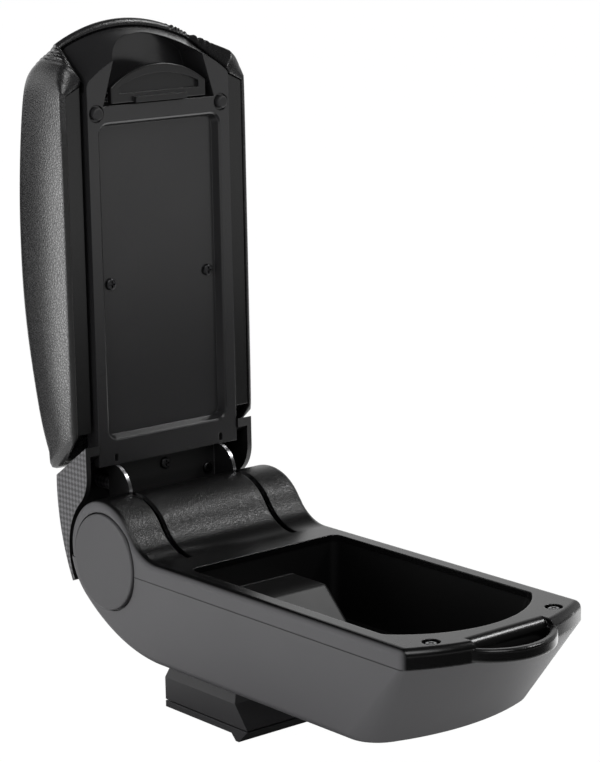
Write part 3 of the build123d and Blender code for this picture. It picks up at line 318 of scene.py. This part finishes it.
def pad_columns():
    """What each column of the pad needs: its ray, outline, lip, shoulder and gathers."""
    spine, ray_x, ray_z = pad_rays()
    reach = pad_reach(ray_x, ray_z)
    lip_reach, lip_y = lip_line(ray_x, ray_z)
    lip_depth = np.clip(LIP_SHARE * (reach - lip_reach), LIP_LEAST, LIP_MOST)
    edge_y = pad_crown(spine + ray_z * reach)
    turn = np.arctan2(np.abs(ray_x), np.abs(ray_z))
    under = np.where(ray_z < 0, smooth_step(*HEEL_SHOULDER_TURN, turn), 0.0)
    rounding = PAD_SHOULDER + (HEEL_SHOULDER - PAD_SHOULDER) * under
    room = edge_y - lip_y - lip_depth - WALL_LEAST
    drop = soft_min(rounding + PAD_CROWN, room, SHOULDER_BLEND)
    return SimpleNamespace(
        spine=spine, ray_x=ray_x, ray_z=ray_z, reach=reach, lip_reach=lip_reach, lip_y=lip_y,
        lip_depth=lip_depth, rounding=rounding, shoulder=drop - PAD_CROWN, wall_start=edge_y - drop,
        wall_end=lip_y + lip_depth, fold=gathers(ray_x, ray_z), side=np.abs(ray_x) ** 2
    )


def back_rings(column):
    """Rings from the spine over the crowned back and round the shoulder's quarter circle."""
    inner = np.linspace(1, SHOULDER_SHARE, BACK_RINGS, endpoint=False)
    outer = SHOULDER_SHARE * (1 - np.linspace(0, 1, SHOULDER_RINGS)) ** SHOULDER_CROWDING
    rings = []
    for share in np.concatenate([inner, outer]):
        radius = column.reach * (1 - share)
        gap = column.reach * share
        turn = 1 - np.clip(gap / column.rounding, 0, 1)
        quarter = column.shoulder * (1 - np.sqrt(1 - turn**2))
        crown = PAD_CROWN * (1 - share) ** 2.0
        tuck = BACK_GATHER * column.fold * smooth_step(GATHER_REACH, 0.0, gap)
        depth = pad_crown(column.spine + column.ray_z * radius) - quarter - crown + tuck
        rings.append((radius, depth, 0 * radius))
    return rings


def wall_rings(column):
    """Rings down the side wall, which bulges as a half sine and leans in towards the lip."""
    rings = []
    for share in np.linspace(0, 1, WALL_RINGS + 1)[1:]:
        swell = (SIDE_BULGE * np.sin(np.pi * share) - SIDE_LEAN * share**2) * column.side
        depth = column.wall_start + (column.wall_end - column.wall_start) * share
        rings.append((column.reach + swell + column.fold * share**0.5, depth, 0 * depth))
    return rings


def lip_rings(column):
    """Rings over the rolled lip, a quarter of an ellipse, each with a mark of painted shade that
    darkens it.
    """
    edge = column.reach - SIDE_LEAN * column.side
    # Painted shade on the lip, weaker over the arch
    strength = np.where(column.ray_z > 0.5, ARCH_LIP_SHADE, 1.0)
    rings = []
    for share in np.linspace(0, 1, LIP_RINGS + 1)[1:]:
        turn = 0.5 * np.pi * share
        roll = (edge - column.lip_reach) * (1 - np.cos(turn))
        radius = edge - roll + column.fold * (1 - share**3)
        depth = column.wall_end - column.lip_depth * np.sin(turn)
        rings.append((radius, depth, smooth_step(0.0, LIP_SHADE_END, share) * strength))
    return rings


def hollow_floor(column, share):
    """Depth of the hollow at a share of the lip's distance: a shelf that steps to the tunnel."""
    z = column.spine + column.ray_z * column.lip_reach * share
    return FLOOR_Y + (TUNNEL_Y - FLOOR_Y) * smooth_step(*TUNNEL_Z, z)


def hollow_rings(column):
    """Rings up the hollow's wall behind the lip and along its floor back to the spine."""
    wall = np.maximum(hollow_floor(column, 1.0) - column.lip_y, 0)
    rings = []
    for share in HOLLOW_SHARES:
        rings.append((column.lip_reach, column.lip_y + wall * share, 0 * wall))
    for share in np.linspace(1, 0, HOLLOW_RINGS + 1)[1:]:
        rings.append((column.lip_reach * share, hollow_floor(column, share), 0 * wall))
    return rings


def padded_top():
    """Vinyl-covered pad that stands for its plain solid.

    Each ring is laid out on the rays; the heel is sheared so that its underside slants."""
    column = pad_columns()
    rings = back_rings(column) + wall_rings(column) + lip_rings(column) + hollow_rings(column)
    radius, depth, lip = (np.array(values) for values in zip(*rings))
    z = column.spine + column.ray_z * radius
    heel = smooth_step(PAD_HEEL_Z, PAD_HEEL_Z - PAD_HEEL_DROP + UNDERSIDE_ROUND, z)
    slant = UNDERSIDE_Y - np.minimum(depth, UNDERSIDE_Y + UNDERSIDE_RISE)
    points = metres(column.ray_x * radius, depth, z + heel * slant * UNDERSIDE_SLOPE)
    edge_z = column.spine + column.ray_z * column.reach
    edge = np.stack([column.ray_x * column.reach, edge_z], axis=-1)
    step = np.linalg.norm(np.diff(edge, axis=0, prepend=edge[:1]), axis=1)
    along = np.broadcast_to(np.cumsum(step) * MM, radius.shape)
    # The lip mark carries the painted shade of the rolled lip into the vinyl
    pad = ring_mesh("padded_top", points, {"lip": lip, "along": along})
    weld(pad, WELD * MM)
    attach(pad, "cushion")
    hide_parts("cushion_pad")
    return pad


def add(tree, kind, inputs=None, **settings):
    """New node in a tree; inputs maps socket names to values or to other sockets."""
    node = tree.nodes.new(kind)
    for key, value in settings.items():
        setattr(node, key, value)
    for key, value in (inputs or {}).items():
        if isinstance(value, bpy.types.NodeSocket):
            tree.links.new(value, node.inputs[key])
        else:
            node.inputs[key].default_value = value
    return node


def maths(tree, operation, first, second=0.0):
    """Result of a Math node on two values or sockets."""
    return add(tree, "ShaderNodeMath", {0: first, 1: second}, operation=operation).outputs[0]


def times(tree, *factors):
    """Product of values or sockets."""
    product = factors[0]
    for factor in factors[1:]:
        product = maths(tree, "MULTIPLY", product, factor)
    return product


def ramp(tree, value, low, high):
    """Smooth 0 to 1 mask as a value goes from low to high."""
    limits = {"Value": value, "From Min": low, "From Max": high}
    node = add(tree, "ShaderNodeMapRange", limits, interpolation_type="SMOOTHSTEP")
    return node.outputs["Result"]


def spread(tree, value, low, high):
    """Value from 0 to 1 stretched to lie between low and high."""
    limits = {"Value": value, "To Min": low, "To Max": high}
    return add(tree, "ShaderNodeMapRange", limits).outputs["Result"]


def blend(tree, mask, first, second):
    """Number that goes from first to second with a mask."""
    ends = {"Factor": mask, 2: first, 3: second}
    return add(tree, "ShaderNodeMix", ends, data_type="FLOAT").outputs[0]


def mixed(tree, mask, first, second):
    """Colour that goes from first to second with a mask."""
    ends = {"Factor": mask, 6: first, 7: second}
    return add(tree, "ShaderNodeMix", ends, data_type="RGBA").outputs[2]


def vectors(tree, operation, inputs):
    """Outputs of a Vector Math node."""
    return add(tree, "ShaderNodeVectorMath", inputs, operation=operation).outputs


def axes(tree, vector):
    """X, Y and Z of a vector socket."""
    return add(tree, "ShaderNodeSeparateXYZ", {"Vector": vector}).outputs


def own_normal(tree):
    """X, Y and Z of the surface's direction in the object's own axes."""
    return axes(tree, add(tree, "ShaderNodeTexCoord").outputs["Normal"])


def mark(tree, name):
    """Value that a mesh keeps at its points."""
    return add(tree, "ShaderNodeAttribute", attribute_name=name).outputs["Fac"]


def new_group(name, inputs, outputs):
    """Empty shader group with a Vector input beside float inputs and outputs."""
    tree = bpy.data.node_groups.new(name, "ShaderNodeTree")
    tree.interface.new_socket("Vector", in_out="INPUT", socket_type="NodeSocketVector")
    for socket in inputs:
        tree.interface.new_socket(socket, in_out="INPUT", socket_type="NodeSocketFloat")
    for socket in outputs:
        tree.interface.new_socket(socket, in_out="OUTPUT", socket_type="NodeSocketFloat")
    start = tree.nodes.new("NodeGroupInput").outputs
    end = tree.nodes.new("NodeGroupOutput").inputs
    return tree, start, end


def moulded_grain():
    """Fine grain of moulded plastic: height, uneven gloss and a faint drift of tone."""
    tree, start, end = new_group("moulded_grain", ["Scale"], ["Height", "Gloss", "Tone"])
    flat = {"Vector": start["Vector"]}
    place = {**flat, "Scale": start["Scale"]}
    fine = add(tree, "ShaderNodeTexNoise", {**place, "Detail": 3.0, "Roughness": 0.65})
    cells = add(tree, "ShaderNodeTexVoronoi", place, feature="SMOOTH_F1")
    pits = times(tree, cells.outputs["Distance"], 0.6)
    broad = add(tree, "ShaderNodeTexNoise", {**flat, "Scale": 26.0, "Detail": 4.0})
    slow = add(tree, "ShaderNodeTexNoise", {**flat, "Scale": 9.0, "Detail": 2.0})
    tree.links.new(maths(tree, "ADD", fine.outputs["Fac"], pits), end["Height"])
    tree.links.new(broad.outputs["Fac"], end["Gloss"])
    tree.links.new(slow.outputs["Fac"], end["Tone"])
    return tree


def pebble_grain():
    """Pebbles divided by creases, as on leatherette and on coarse-grained mouldings."""
    tree, start, end = new_group("pebble_grain", ["Scale"], ["Height", "Crease"])
    size = {"Scale": start["Scale"]}
    warp = add(tree, "ShaderNodeTexNoise", {**size, "Vector": start["Vector"], "Detail": 1.0})
    shift = vectors(tree, "SUBTRACT", {0: warp.outputs["Color"], 1: (0.5, 0.5, 0.5)})[0]
    pull = vectors(tree, "SCALE", {0: shift, "Scale": 0.0007})[0]
    place = vectors(tree, "ADD", {0: start["Vector"], 1: pull})[0]
    cells = add(tree, "ShaderNodeTexVoronoi", {**size, "Vector": place}, feature="DISTANCE_TO_EDGE")
    tree.links.new(ramp(tree, cells.outputs["Distance"], 0.0, 0.32), end["Height"])
    tree.links.new(ramp(tree, cells.outputs["Distance"], 0.16, 0.0), end["Crease"])
    return tree


def twill_weave():
    """Diagonal weave on two coordinates: height of the strands and their light and dark."""
    tree, start, end = new_group("twill_weave", ["Pitch"], ["Height", "Tone"])
    flat = axes(tree, start["Vector"])
    wave = maths(tree, "DIVIDE", FULL_TURN, start["Pitch"])
    across = times(tree, flat["X"], wave)
    upward = times(tree, flat["Y"], wave)
    warp = maths(tree, "SINE", maths(tree, "ADD", across, upward))
    weft = maths(tree, "SINE", maths(tree, "SUBTRACT", across, upward))
    height = times(tree, warp, weft)
    tree.links.new(spread(tree, height, 0.5, 1.0), end["Height"])
    tree.links.new(ramp(tree, height, -0.5, 0.6), end["Tone"])
    return tree


def new_material(name):
    """Material with one Principled shader, and the object's own coordinates."""
    material = bpy.data.materials.new(name)
    material.use_nodes = True
    tree = material.node_tree
    shader = tree.nodes["Principled BSDF"]
    place = tree.nodes.new("ShaderNodeTexCoord").outputs["Object"]
    return material, tree, shader, place


def use_group(tree, group, place, **values):
    """A shared group placed in a material's tree."""
    node = add(tree, "ShaderNodeGroup", node_tree=group)
    tree.links.new(place, node.inputs["Vector"])
    for key, value in values.items():
        node.inputs[key].default_value = value
    return node.outputs


def relief(tree, shader, height, strength, depth, edge=0.0):
    """Bump of a depth in millimetres on the shader's normal; edge is a rounding of edges."""
    hills = {"Height": height, "Strength": strength, "Distance": depth * MM}
    bump = add(tree, "ShaderNodeBump", hills)
    if edge > 0:
        rounded = add(tree, "ShaderNodeBevel", {"Radius": edge * MM}, samples=6)
        tree.links.new(rounded.outputs["Normal"], bump.inputs["Normal"])
    tree.links.new(bump.outputs["Normal"], shader.inputs["Normal"])


def shade(level):
    """Slightly violet grey of some brightness."""
    return tuple(level * part for part in TINT) + (1,)


def drift(tree, mask, tones):
    """Grey that drifts between two tones."""
    return mixed(tree, mask, shade(tones[0]), shade(tones[1]))


def joint_line(tree, place):
    """Mask of the dark joint round the outside where the tray sits on the hull."""
    spot = axes(tree, place)
    level = maths(tree, "ABSOLUTE", maths(tree, "SUBTRACT", spot["Z"], JOINT_Z))
    outside = ramp(tree, maths(tree, "ABSOLUTE", spot["X"]), *JOINT_X)
    return times(tree, ramp(tree, level, *JOINT_HALF), outside)


def plastic(name, groups, tone, gloss, grain_scale, grain_depth, joint=False):
    """Moulded plastic whose tone and gloss drift between two levels, with a fine grain."""
    material, tree, shader, place = new_material(name)
    grain = use_group(tree, groups["moulded_grain"], place, Scale=grain_scale)
    colour = drift(tree, grain["Tone"], tone)
    if joint:
        colour = mixed(tree, joint_line(tree, place), colour, shade(JOINT_TONE))
    tree.links.new(colour, shader.inputs["Base Color"])
    tree.links.new(spread(tree, grain["Gloss"], *gloss), shader.inputs["Roughness"])
    relief(tree, shader, grain["Height"], strength=0.35, depth=grain_depth, edge=0.5)
    return material


def tray_areas(tree, place):
    """Masks of the tray's outer flanks, of the bin's inside and of the hump."""
    spot = axes(tree, place)
    off_middle = maths(tree, "ABSOLUTE", spot["X"])
    flank = times(tree, ramp(tree, off_middle, *FLANK_X), ramp(tree, spot["Y"], *FLANK_FRONT_Y))
    inside = times(tree, ramp(tree, spot["Z"], *BIN_Z), ramp(tree, spot["Y"], *BIN_FRONT_Y))
    hump = times(tree, ramp(tree, spot["Z"], *HUMP_Z), maths(tree, "SUBTRACT", 1.0, flank))
    return flank, inside, hump


def tray_plastic(groups):
    """Black satin deck, pebble grain on the hump, matt bin and grey matt sides."""
    material, tree, shader, place = new_material("tray_black")
    flank, inside, hump = tray_areas(tree, place)
    grain = use_group(tree, groups["moulded_grain"], place, Scale=2200.0)
    pebble = use_group(tree, groups["pebble_grain"], place, Scale=1000.0)
    black = drift(tree, grain["Tone"], DECK_TONE)
    grey = drift(tree, grain["Tone"], GREY_TONE)
    painted = mixed(tree, flank, black, grey)
    colour = mixed(tree, joint_line(tree, place), painted, shade(JOINT_TONE))
    tree.links.new(colour, shader.inputs["Base Color"])
    deck_gloss = spread(tree, grain["Gloss"], 0.22, 0.30)
    flank_gloss = spread(tree, grain["Gloss"], 0.46, 0.56)
    hump_gloss = spread(tree, grain["Gloss"], 0.28, 0.36)
    bin_gloss = spread(tree, grain["Gloss"], 0.40, 0.48)
    dark_gloss = blend(tree, inside, blend(tree, hump, deck_gloss, hump_gloss), bin_gloss)
    tree.links.new(blend(tree, flank, dark_gloss, flank_gloss), shader.inputs["Roughness"])
    coarse = times(tree, pebble["Height"], hump, 2.8)
    height = maths(tree, "ADD", coarse, times(tree, grain["Height"], 0.3))
    relief(tree, shader, height, strength=0.5, depth=0.05, edge=0.9)
    return material


def vinyl(groups):
    """Black leatherette: pebbles with darker, duller creases; its rolled lip is puckered and
    darkened by painted shade.
    """
    material, tree, shader, place = new_material("vinyl_black")
    pebble = use_group(tree, groups["pebble_grain"], place, Scale=600.0)
    fine = use_group(tree, groups["moulded_grain"], place, Scale=3000.0)
    # lip: mask of the painted shade on the rolled lip; it also places the puckers and the duller
    # gloss
    lip = mark(tree, "lip")
    ripple = {"W": mark(tree, "along"), "Scale": 900.0, "Detail": 2.0}
    pucker = add(tree, "ShaderNodeTexNoise", ripple, noise_dimensions="1D").outputs["Fac"]
    top = drift(tree, fine["Tone"], VINYL_TONE)
    # Grain creases and the painted lip shade share one dark tone
    crease_and_lip_shade = maths(tree, "MAXIMUM", pebble["Crease"], lip)
    tree.links.new(mixed(tree, crease_and_lip_shade, top, shade(CREASE_AND_LIP_SHADE_TONE)), shader.inputs["Base Color"])
    satin = spread(tree, fine["Gloss"], 0.21, 0.27)
    dull_lip = maths(tree, "ADD", satin, times(tree, lip, 0.20))
    gloss = maths(tree, "ADD", dull_lip, times(tree, pebble["Crease"], 0.12))
    tree.links.new(gloss, shader.inputs["Roughness"])
    height = maths(tree, "ADD", pebble["Height"], times(tree, fine["Height"], 0.04))
    tucks = times(tree, pucker, lip, 8.0)
    relief(tree, shader, maths(tree, "ADD", height, tucks), strength=0.4, depth=0.08)
    shader.inputs["Specular IOR Level"].default_value = 0.75
    return material


def weave_cover(groups):
    """Rear cover: grey woven film outside, black edge strip in front."""
    material, tree, shader, place = new_material("weave_grey")
    spot = axes(tree, place)
    facing = own_normal(tree)
    outward = times(tree, facing["X"], maths(tree, "SIGN", spot["X"]))
    flank = ramp(tree, outward, 0.45, 0.55)
    sideways = blend(tree, flank, spot["X"], spot["Y"])
    flat = add(tree, "ShaderNodeCombineXYZ", {"X": sideways, "Y": spot["Z"]}).outputs[0]
    weave = use_group(tree, groups["twill_weave"], flat, Pitch=WEAVE_PITCH)
    grain = use_group(tree, groups["moulded_grain"], place, Scale=2600.0)
    outside = maths(tree, "MAXIMUM", flank, ramp(tree, facing["Y"], 0.1, 0.3))
    film = drift(tree, weave["Tone"], FILM_TONE)
    black = drift(tree, grain["Tone"], COVER_EDGE_TONE)
    tree.links.new(mixed(tree, outside, black, film), shader.inputs["Base Color"])
    tree.links.new(spread(tree, grain["Gloss"], 0.38, 0.50), shader.inputs["Roughness"])
    strands = times(tree, weave["Height"], outside, 3.0)
    relief(tree, shader, maths(tree, "ADD", strands, grain["Height"]), strength=0.4, depth=0.1)
    return material


def metal(name, groups, colour, gloss, scratch):
    """Metal with fine scratches and uneven gloss."""
    material, tree, shader, place = new_material(name)
    grain = use_group(tree, groups["moulded_grain"], place, Scale=scratch)
    worn = tuple(0.8 * part for part in colour)
    tone = mixed(tree, grain["Tone"], worn + (1,), colour + (1,))
    tree.links.new(tone, shader.inputs["Base Color"])
    shader.inputs["Metallic"].default_value = 1.0
    tree.links.new(spread(tree, grain["Gloss"], *gloss), shader.inputs["Roughness"])
    relief(tree, shader, grain["Height"], strength=0.15, depth=0.02)
    return material


def bracket_finish(groups):
    """Bracket painted black, with bare steel on the sheared edges of its two arms."""
    material, tree, shader, place = new_material("bracket_steel")
    grain = use_group(tree, groups["moulded_grain"], place, Scale=900.0)
    off_middle = maths(tree, "ABSOLUTE", axes(tree, place)["X"])
    edge = ramp(tree, maths(tree, "ABSOLUTE", own_normal(tree)["X"]), 0.7, 0.5)
    bare = times(tree, ramp(tree, off_middle, *ARM_X), edge)
    steel = mixed(tree, grain["Tone"], (0.30, 0.30, 0.31, 1), (0.40, 0.40, 0.41, 1))
    tree.links.new(mixed(tree, bare, shade(PAINT_TONE), steel), shader.inputs["Base Color"])
    tree.links.new(bare, shader.inputs["Metallic"])
    painted = spread(tree, grain["Gloss"], 0.5, 0.6)
    polished = spread(tree, grain["Gloss"], 0.22, 0.34)
    tree.links.new(blend(tree, bare, painted, polished), shader.inputs["Roughness"])
    relief(tree, shader, grain["Height"], strength=0.15, depth=0.02)
    return material


def plastic_looks(groups):
    """Plain plastics and rubber, each with the CAD nodes that wear it."""
    hull = plastic("hull_grey", groups, GREY_TONE, (0.42, 0.52), 2400.0, 0.05, joint=True)
    # The caps are the hull's grey plastic, made a little darker as painted shade
    shaded_cap = plastic("cap_grey_shaded", groups, (0.053, 0.060), (0.44, 0.54), 2400.0, 0.05)
    foot = plastic("foot_grey", groups, (0.030, 0.040), (0.42, 0.54), 2000.0, 0.05)
    panel = plastic("panel_black", groups, (0.013, 0.018), (0.19, 0.25), 2600.0, 0.03)
    lever = plastic("lever_black", groups, (0.005, 0.008), (0.28, 0.36), 2200.0, 0.015)
    base = plastic("base_black", groups, (0.001, 0.002), (0.20, 0.26), 2200.0, 0.04)
    rail = plastic("rail_black", groups, (0.010, 0.014), (0.40, 0.50), 2000.0, 0.04)
    bumper = plastic("bumper_rubber", groups, (0.014, 0.022), (0.46, 0.60), 1500.0, 0.05)
    bush = plastic("bush_white", groups, (0.62, 0.70), (0.38, 0.48), 1800.0, 0.03)
    return [
        (hull, ["lower_hull"]),
        (shaded_cap, ["side_cap_left", "side_cap_right"]),
        (foot, ["foot_block", "foot_plate"]),
        (panel, ["inner_panel"]),
        (lever, ["latch_lever"]),
        (base, ["cushion_base"]),
        (rail, ["slide_rail_left", "slide_rail_right"]),
        (bumper, ["bumper_left", "bumper_right"]),
        (bush, ["hinge_bush_left", "hinge_bush_right"]),
    ]


def metal_looks(groups):
    """Shaft and screws, each with the CAD nodes that wear it."""
    shaft = metal("shaft_steel", groups, (0.60, 0.60, 0.61), (0.20, 0.34), 900.0)
    bright = metal("screw_steel", groups, (0.22, 0.22, 0.225), (0.16, 0.26), 1200.0)
    dark = metal("screw_black", groups, (0.06, 0.06, 0.062), (0.30, 0.42), 1200.0)
    return [
        (shaft, ["hinge_shaft", "shaft_clips"]),
        (bright, ["rim_screws", "foot_screws", "plate_screws", "panel_screws"]),
        (dark, ["tray_screws", "bracket_screws", "latch_pin", "latch_spring"]),
    ]


def dress(nodes, groups):
    """A material on every CAD node; the vinyl is returned for the padded top."""
    skin = vinyl(groups)
    special = [
        (tray_plastic(groups), ["top_tray"]),
        (weave_cover(groups), ["rear_cover"]),
        (bracket_finish(groups), ["hinge_bracket"]),
        (skin, ["cushion_pad"]),
    ]
    for finish, names in plastic_looks(groups) + metal_looks(groups) + special:
        for name in names:
            nodes[name].data.materials.clear()
            nodes[name].data.materials.append(finish)
    return skin


def camera_axes():
    """Right, up and back directions of the photograph's camera."""
    angles = (CAMERA_AZIMUTH, CAMERA_ELEVATION, CAMERA_ROLL)
    azimuth, elevation, roll = (radians(angle) for angle in angles)
    right = Vector((cos(azimuth), sin(azimuth), 0))
    level = cos(elevation)
    back = Vector((sin(azimuth) * level, -cos(azimuth) * level, sin(elevation)))
    up = back.cross(right)
    right = right * cos(roll) + up * sin(roll)
    return right, back.cross(right), back


def place_camera():
    """Camera at the photograph's viewpoint."""
    right, up, back = camera_axes()
    target = Vector(metres(*CAMERA_TARGET))
    lens = bpy.data.cameras.new("camera")
    lens.sensor_width = SENSOR
    lens.lens = FOCAL_PIXELS / IMAGE_HEIGHT * SENSOR
    camera = bpy.data.objects.new("camera", lens)
    turn = Matrix((right, up, back)).transposed().to_4x4()
    camera.matrix_world = Matrix.Translation(target + back * CAMERA_DISTANCE * MM) @ turn
    bpy.context.scene.collection.objects.link(camera)
    bpy.context.scene.camera = camera


def soft_light(name, place, aim, size, power, mirrored=True):
    """Rectangular softbox that faces a point; one that isn't mirrored only fills shadows."""
    light = bpy.data.lights.new(name, "AREA")
    light.shape = "RECTANGLE"
    light.size, light.size_y = size
    light.energy = power
    lamp = bpy.data.objects.new(name, light)
    lamp.location = place
    lamp.visible_glossy = mirrored
    lamp.rotation_euler = (Vector(aim) - Vector(place)).to_track_quat("-Z", "Y").to_euler()
    bpy.context.scene.collection.objects.link(lamp)


def floor_light(tree, place, floor_z):
    """Light of the floor on the part.

    A pale sheet, brighter at the right and dim under, before and behind the part, with a bright
    wedge at the rear left and a glow far ahead."""
    spot = axes(tree, place)
    x, y = spot["X"], spot["Y"]
    middle = FLOOR_MIDDLE + (floor_z,)
    distance = vectors(tree, "DISTANCE", {0: place, 1: middle})["Value"]
    diagonal = maths(tree, "ADD", x, y)
    bend = times(tree, maths(tree, "ABSOLUTE", x), FRONT_BEND)
    ahead = maths(tree, "SUBTRACT", bend, times(tree, y, FRONT_SHARE))
    sheet = times(tree, ramp(tree, distance, *SHEET_FADE), ramp(tree, ahead, *FRONT_FADE))
    rear_left = times(tree, ramp(tree, y, *REAR_Y), ramp(tree, x, *REAR_LEFT_X))
    behind = times(tree, rear_left, ramp(tree, diagonal, *REAR_DIAGONAL))
    right = spread(tree, ramp(tree, x, *RIGHT_RISE), *RIGHT_LIGHT)
    shadow = spread(tree, ramp(tree, distance, *UNDER_FADE), UNDER_LEAST, 1.0)
    sides = times(tree, right, spread(tree, behind, 1.0, REAR_DIM))
    near = times(tree, spread(tree, sheet, SHEET_LEAST, 1.0), times(tree, sides, shadow))
    wedge_edge = maths(tree, "ADD", y, times(tree, x, FLARE_TURN))
    wedge = times(tree, ramp(tree, x, *FLARE_X), ramp(tree, wedge_edge, *FLARE_EDGE))
    flare = times(tree, ramp(tree, diagonal, *FLARE_DIAGONAL), wedge, FLARE_LIGHT)
    far = times(tree, ramp(tree, ahead, *FAR_FRONT), FAR_LIGHT)
    return maths(tree, "MAXIMUM", maths(tree, "MAXIMUM", near, flare), far)


def pale_floor(floor_z):
    """White floor; the camera sees it plain white, and the part takes its uneven light."""
    signs = [(-1, -1), (1, -1), (1, 1), (-1, 1)]
    corners = [(x * FLOOR_HALF, y * FLOOR_HALF, floor_z) for x, y in signs]
    mesh = bpy.data.meshes.new("floor")
    mesh.from_pydata(corners, [], [(0, 1, 2, 3)])
    floor = bpy.data.objects.new("floor", mesh)
    bpy.context.scene.collection.objects.link(floor)
    material, tree, shader, place = new_material("floor_white")
    shader.inputs["Specular IOR Level"].default_value = 0.0
    shader.inputs["Base Color"].default_value = (0.02, 0.02, 0.02, 1)
    shader.inputs["Emission Color"].default_value = (1, 1, 1, 1)
    seen = add(tree, "ShaderNodeLightPath").outputs["Is Camera Ray"]
    strength = blend(tree, seen, floor_light(tree, place, floor_z), 1.0)
    tree.links.new(strength, shader.inputs["Emission Strength"])
    material.cycles.emission_sampling = "NONE"
    mesh.materials.append(material)


def surround():
    """White backdrop; its light is bright behind and at the right, dim in front and above."""
    world = bpy.data.worlds.new("surround")
    world.use_nodes = True
    tree = world.node_tree
    way = axes(tree, add(tree, "ShaderNodeTexCoord").outputs["Generated"])
    back = ramp(tree, way["Y"], 0.1, 0.7)
    beside = times(tree, ramp(tree, way["Y"], -0.55, -0.15), 0.6)
    right = times(tree, ramp(tree, way["X"], 0.2, 0.8), beside)
    low = ramp(tree, way["Z"], 0.75, 0.2)
    glow = times(tree, maths(tree, "MAXIMUM", back, right), low)
    seen = add(tree, "ShaderNodeLightPath").outputs["Is Camera Ray"]
    strength = blend(tree, seen, spread(tree, glow, 0.05, 1.0), 1.0)
    tree.links.new(strength, tree.nodes["Background"].inputs["Strength"])
    tree.nodes["Background"].inputs["Color"].default_value = (1, 1, 1, 1)
    bpy.context.scene.world = world


def studio(floor_z):
    """Pale floor, white surround and soft lights, shown with plain tones."""
    pale_floor(floor_z)
    surround()
    left, front, upper = (-1.0, -0.05, 0.42), (-0.25, -0.75, 1.05), (1.05, -0.45, 1.35)
    soft_light("left_softbox", left, (0, -0.05, 0.30), (1.3, 0.9), 8.5, mirrored=False)
    soft_light("front_softbox", front, (0, 0.05, 0.30), (0.6, 0.6), 4.5)
    soft_light("upper_right_softbox", upper, (0, 0.0, 0.12), (0.30, 0.30), 7.0)
    bpy.context.scene.view_settings.view_transform = "Standard"


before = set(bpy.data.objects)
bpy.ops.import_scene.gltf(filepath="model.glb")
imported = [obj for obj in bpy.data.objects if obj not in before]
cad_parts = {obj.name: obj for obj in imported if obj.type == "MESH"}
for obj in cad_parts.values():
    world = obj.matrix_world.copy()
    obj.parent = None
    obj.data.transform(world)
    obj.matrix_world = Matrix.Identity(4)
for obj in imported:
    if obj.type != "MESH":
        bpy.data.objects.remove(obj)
cad_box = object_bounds()
place_camera()
effects = {
    "moulded_grain": moulded_grain(),
    "pebble_grain": pebble_grain(),
    "twill_weave": twill_weave(),
}
skin = dress(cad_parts, effects)
padded_top().data.materials.append(skin)
studio(cad_box[0].z - FLOOR_GAP)
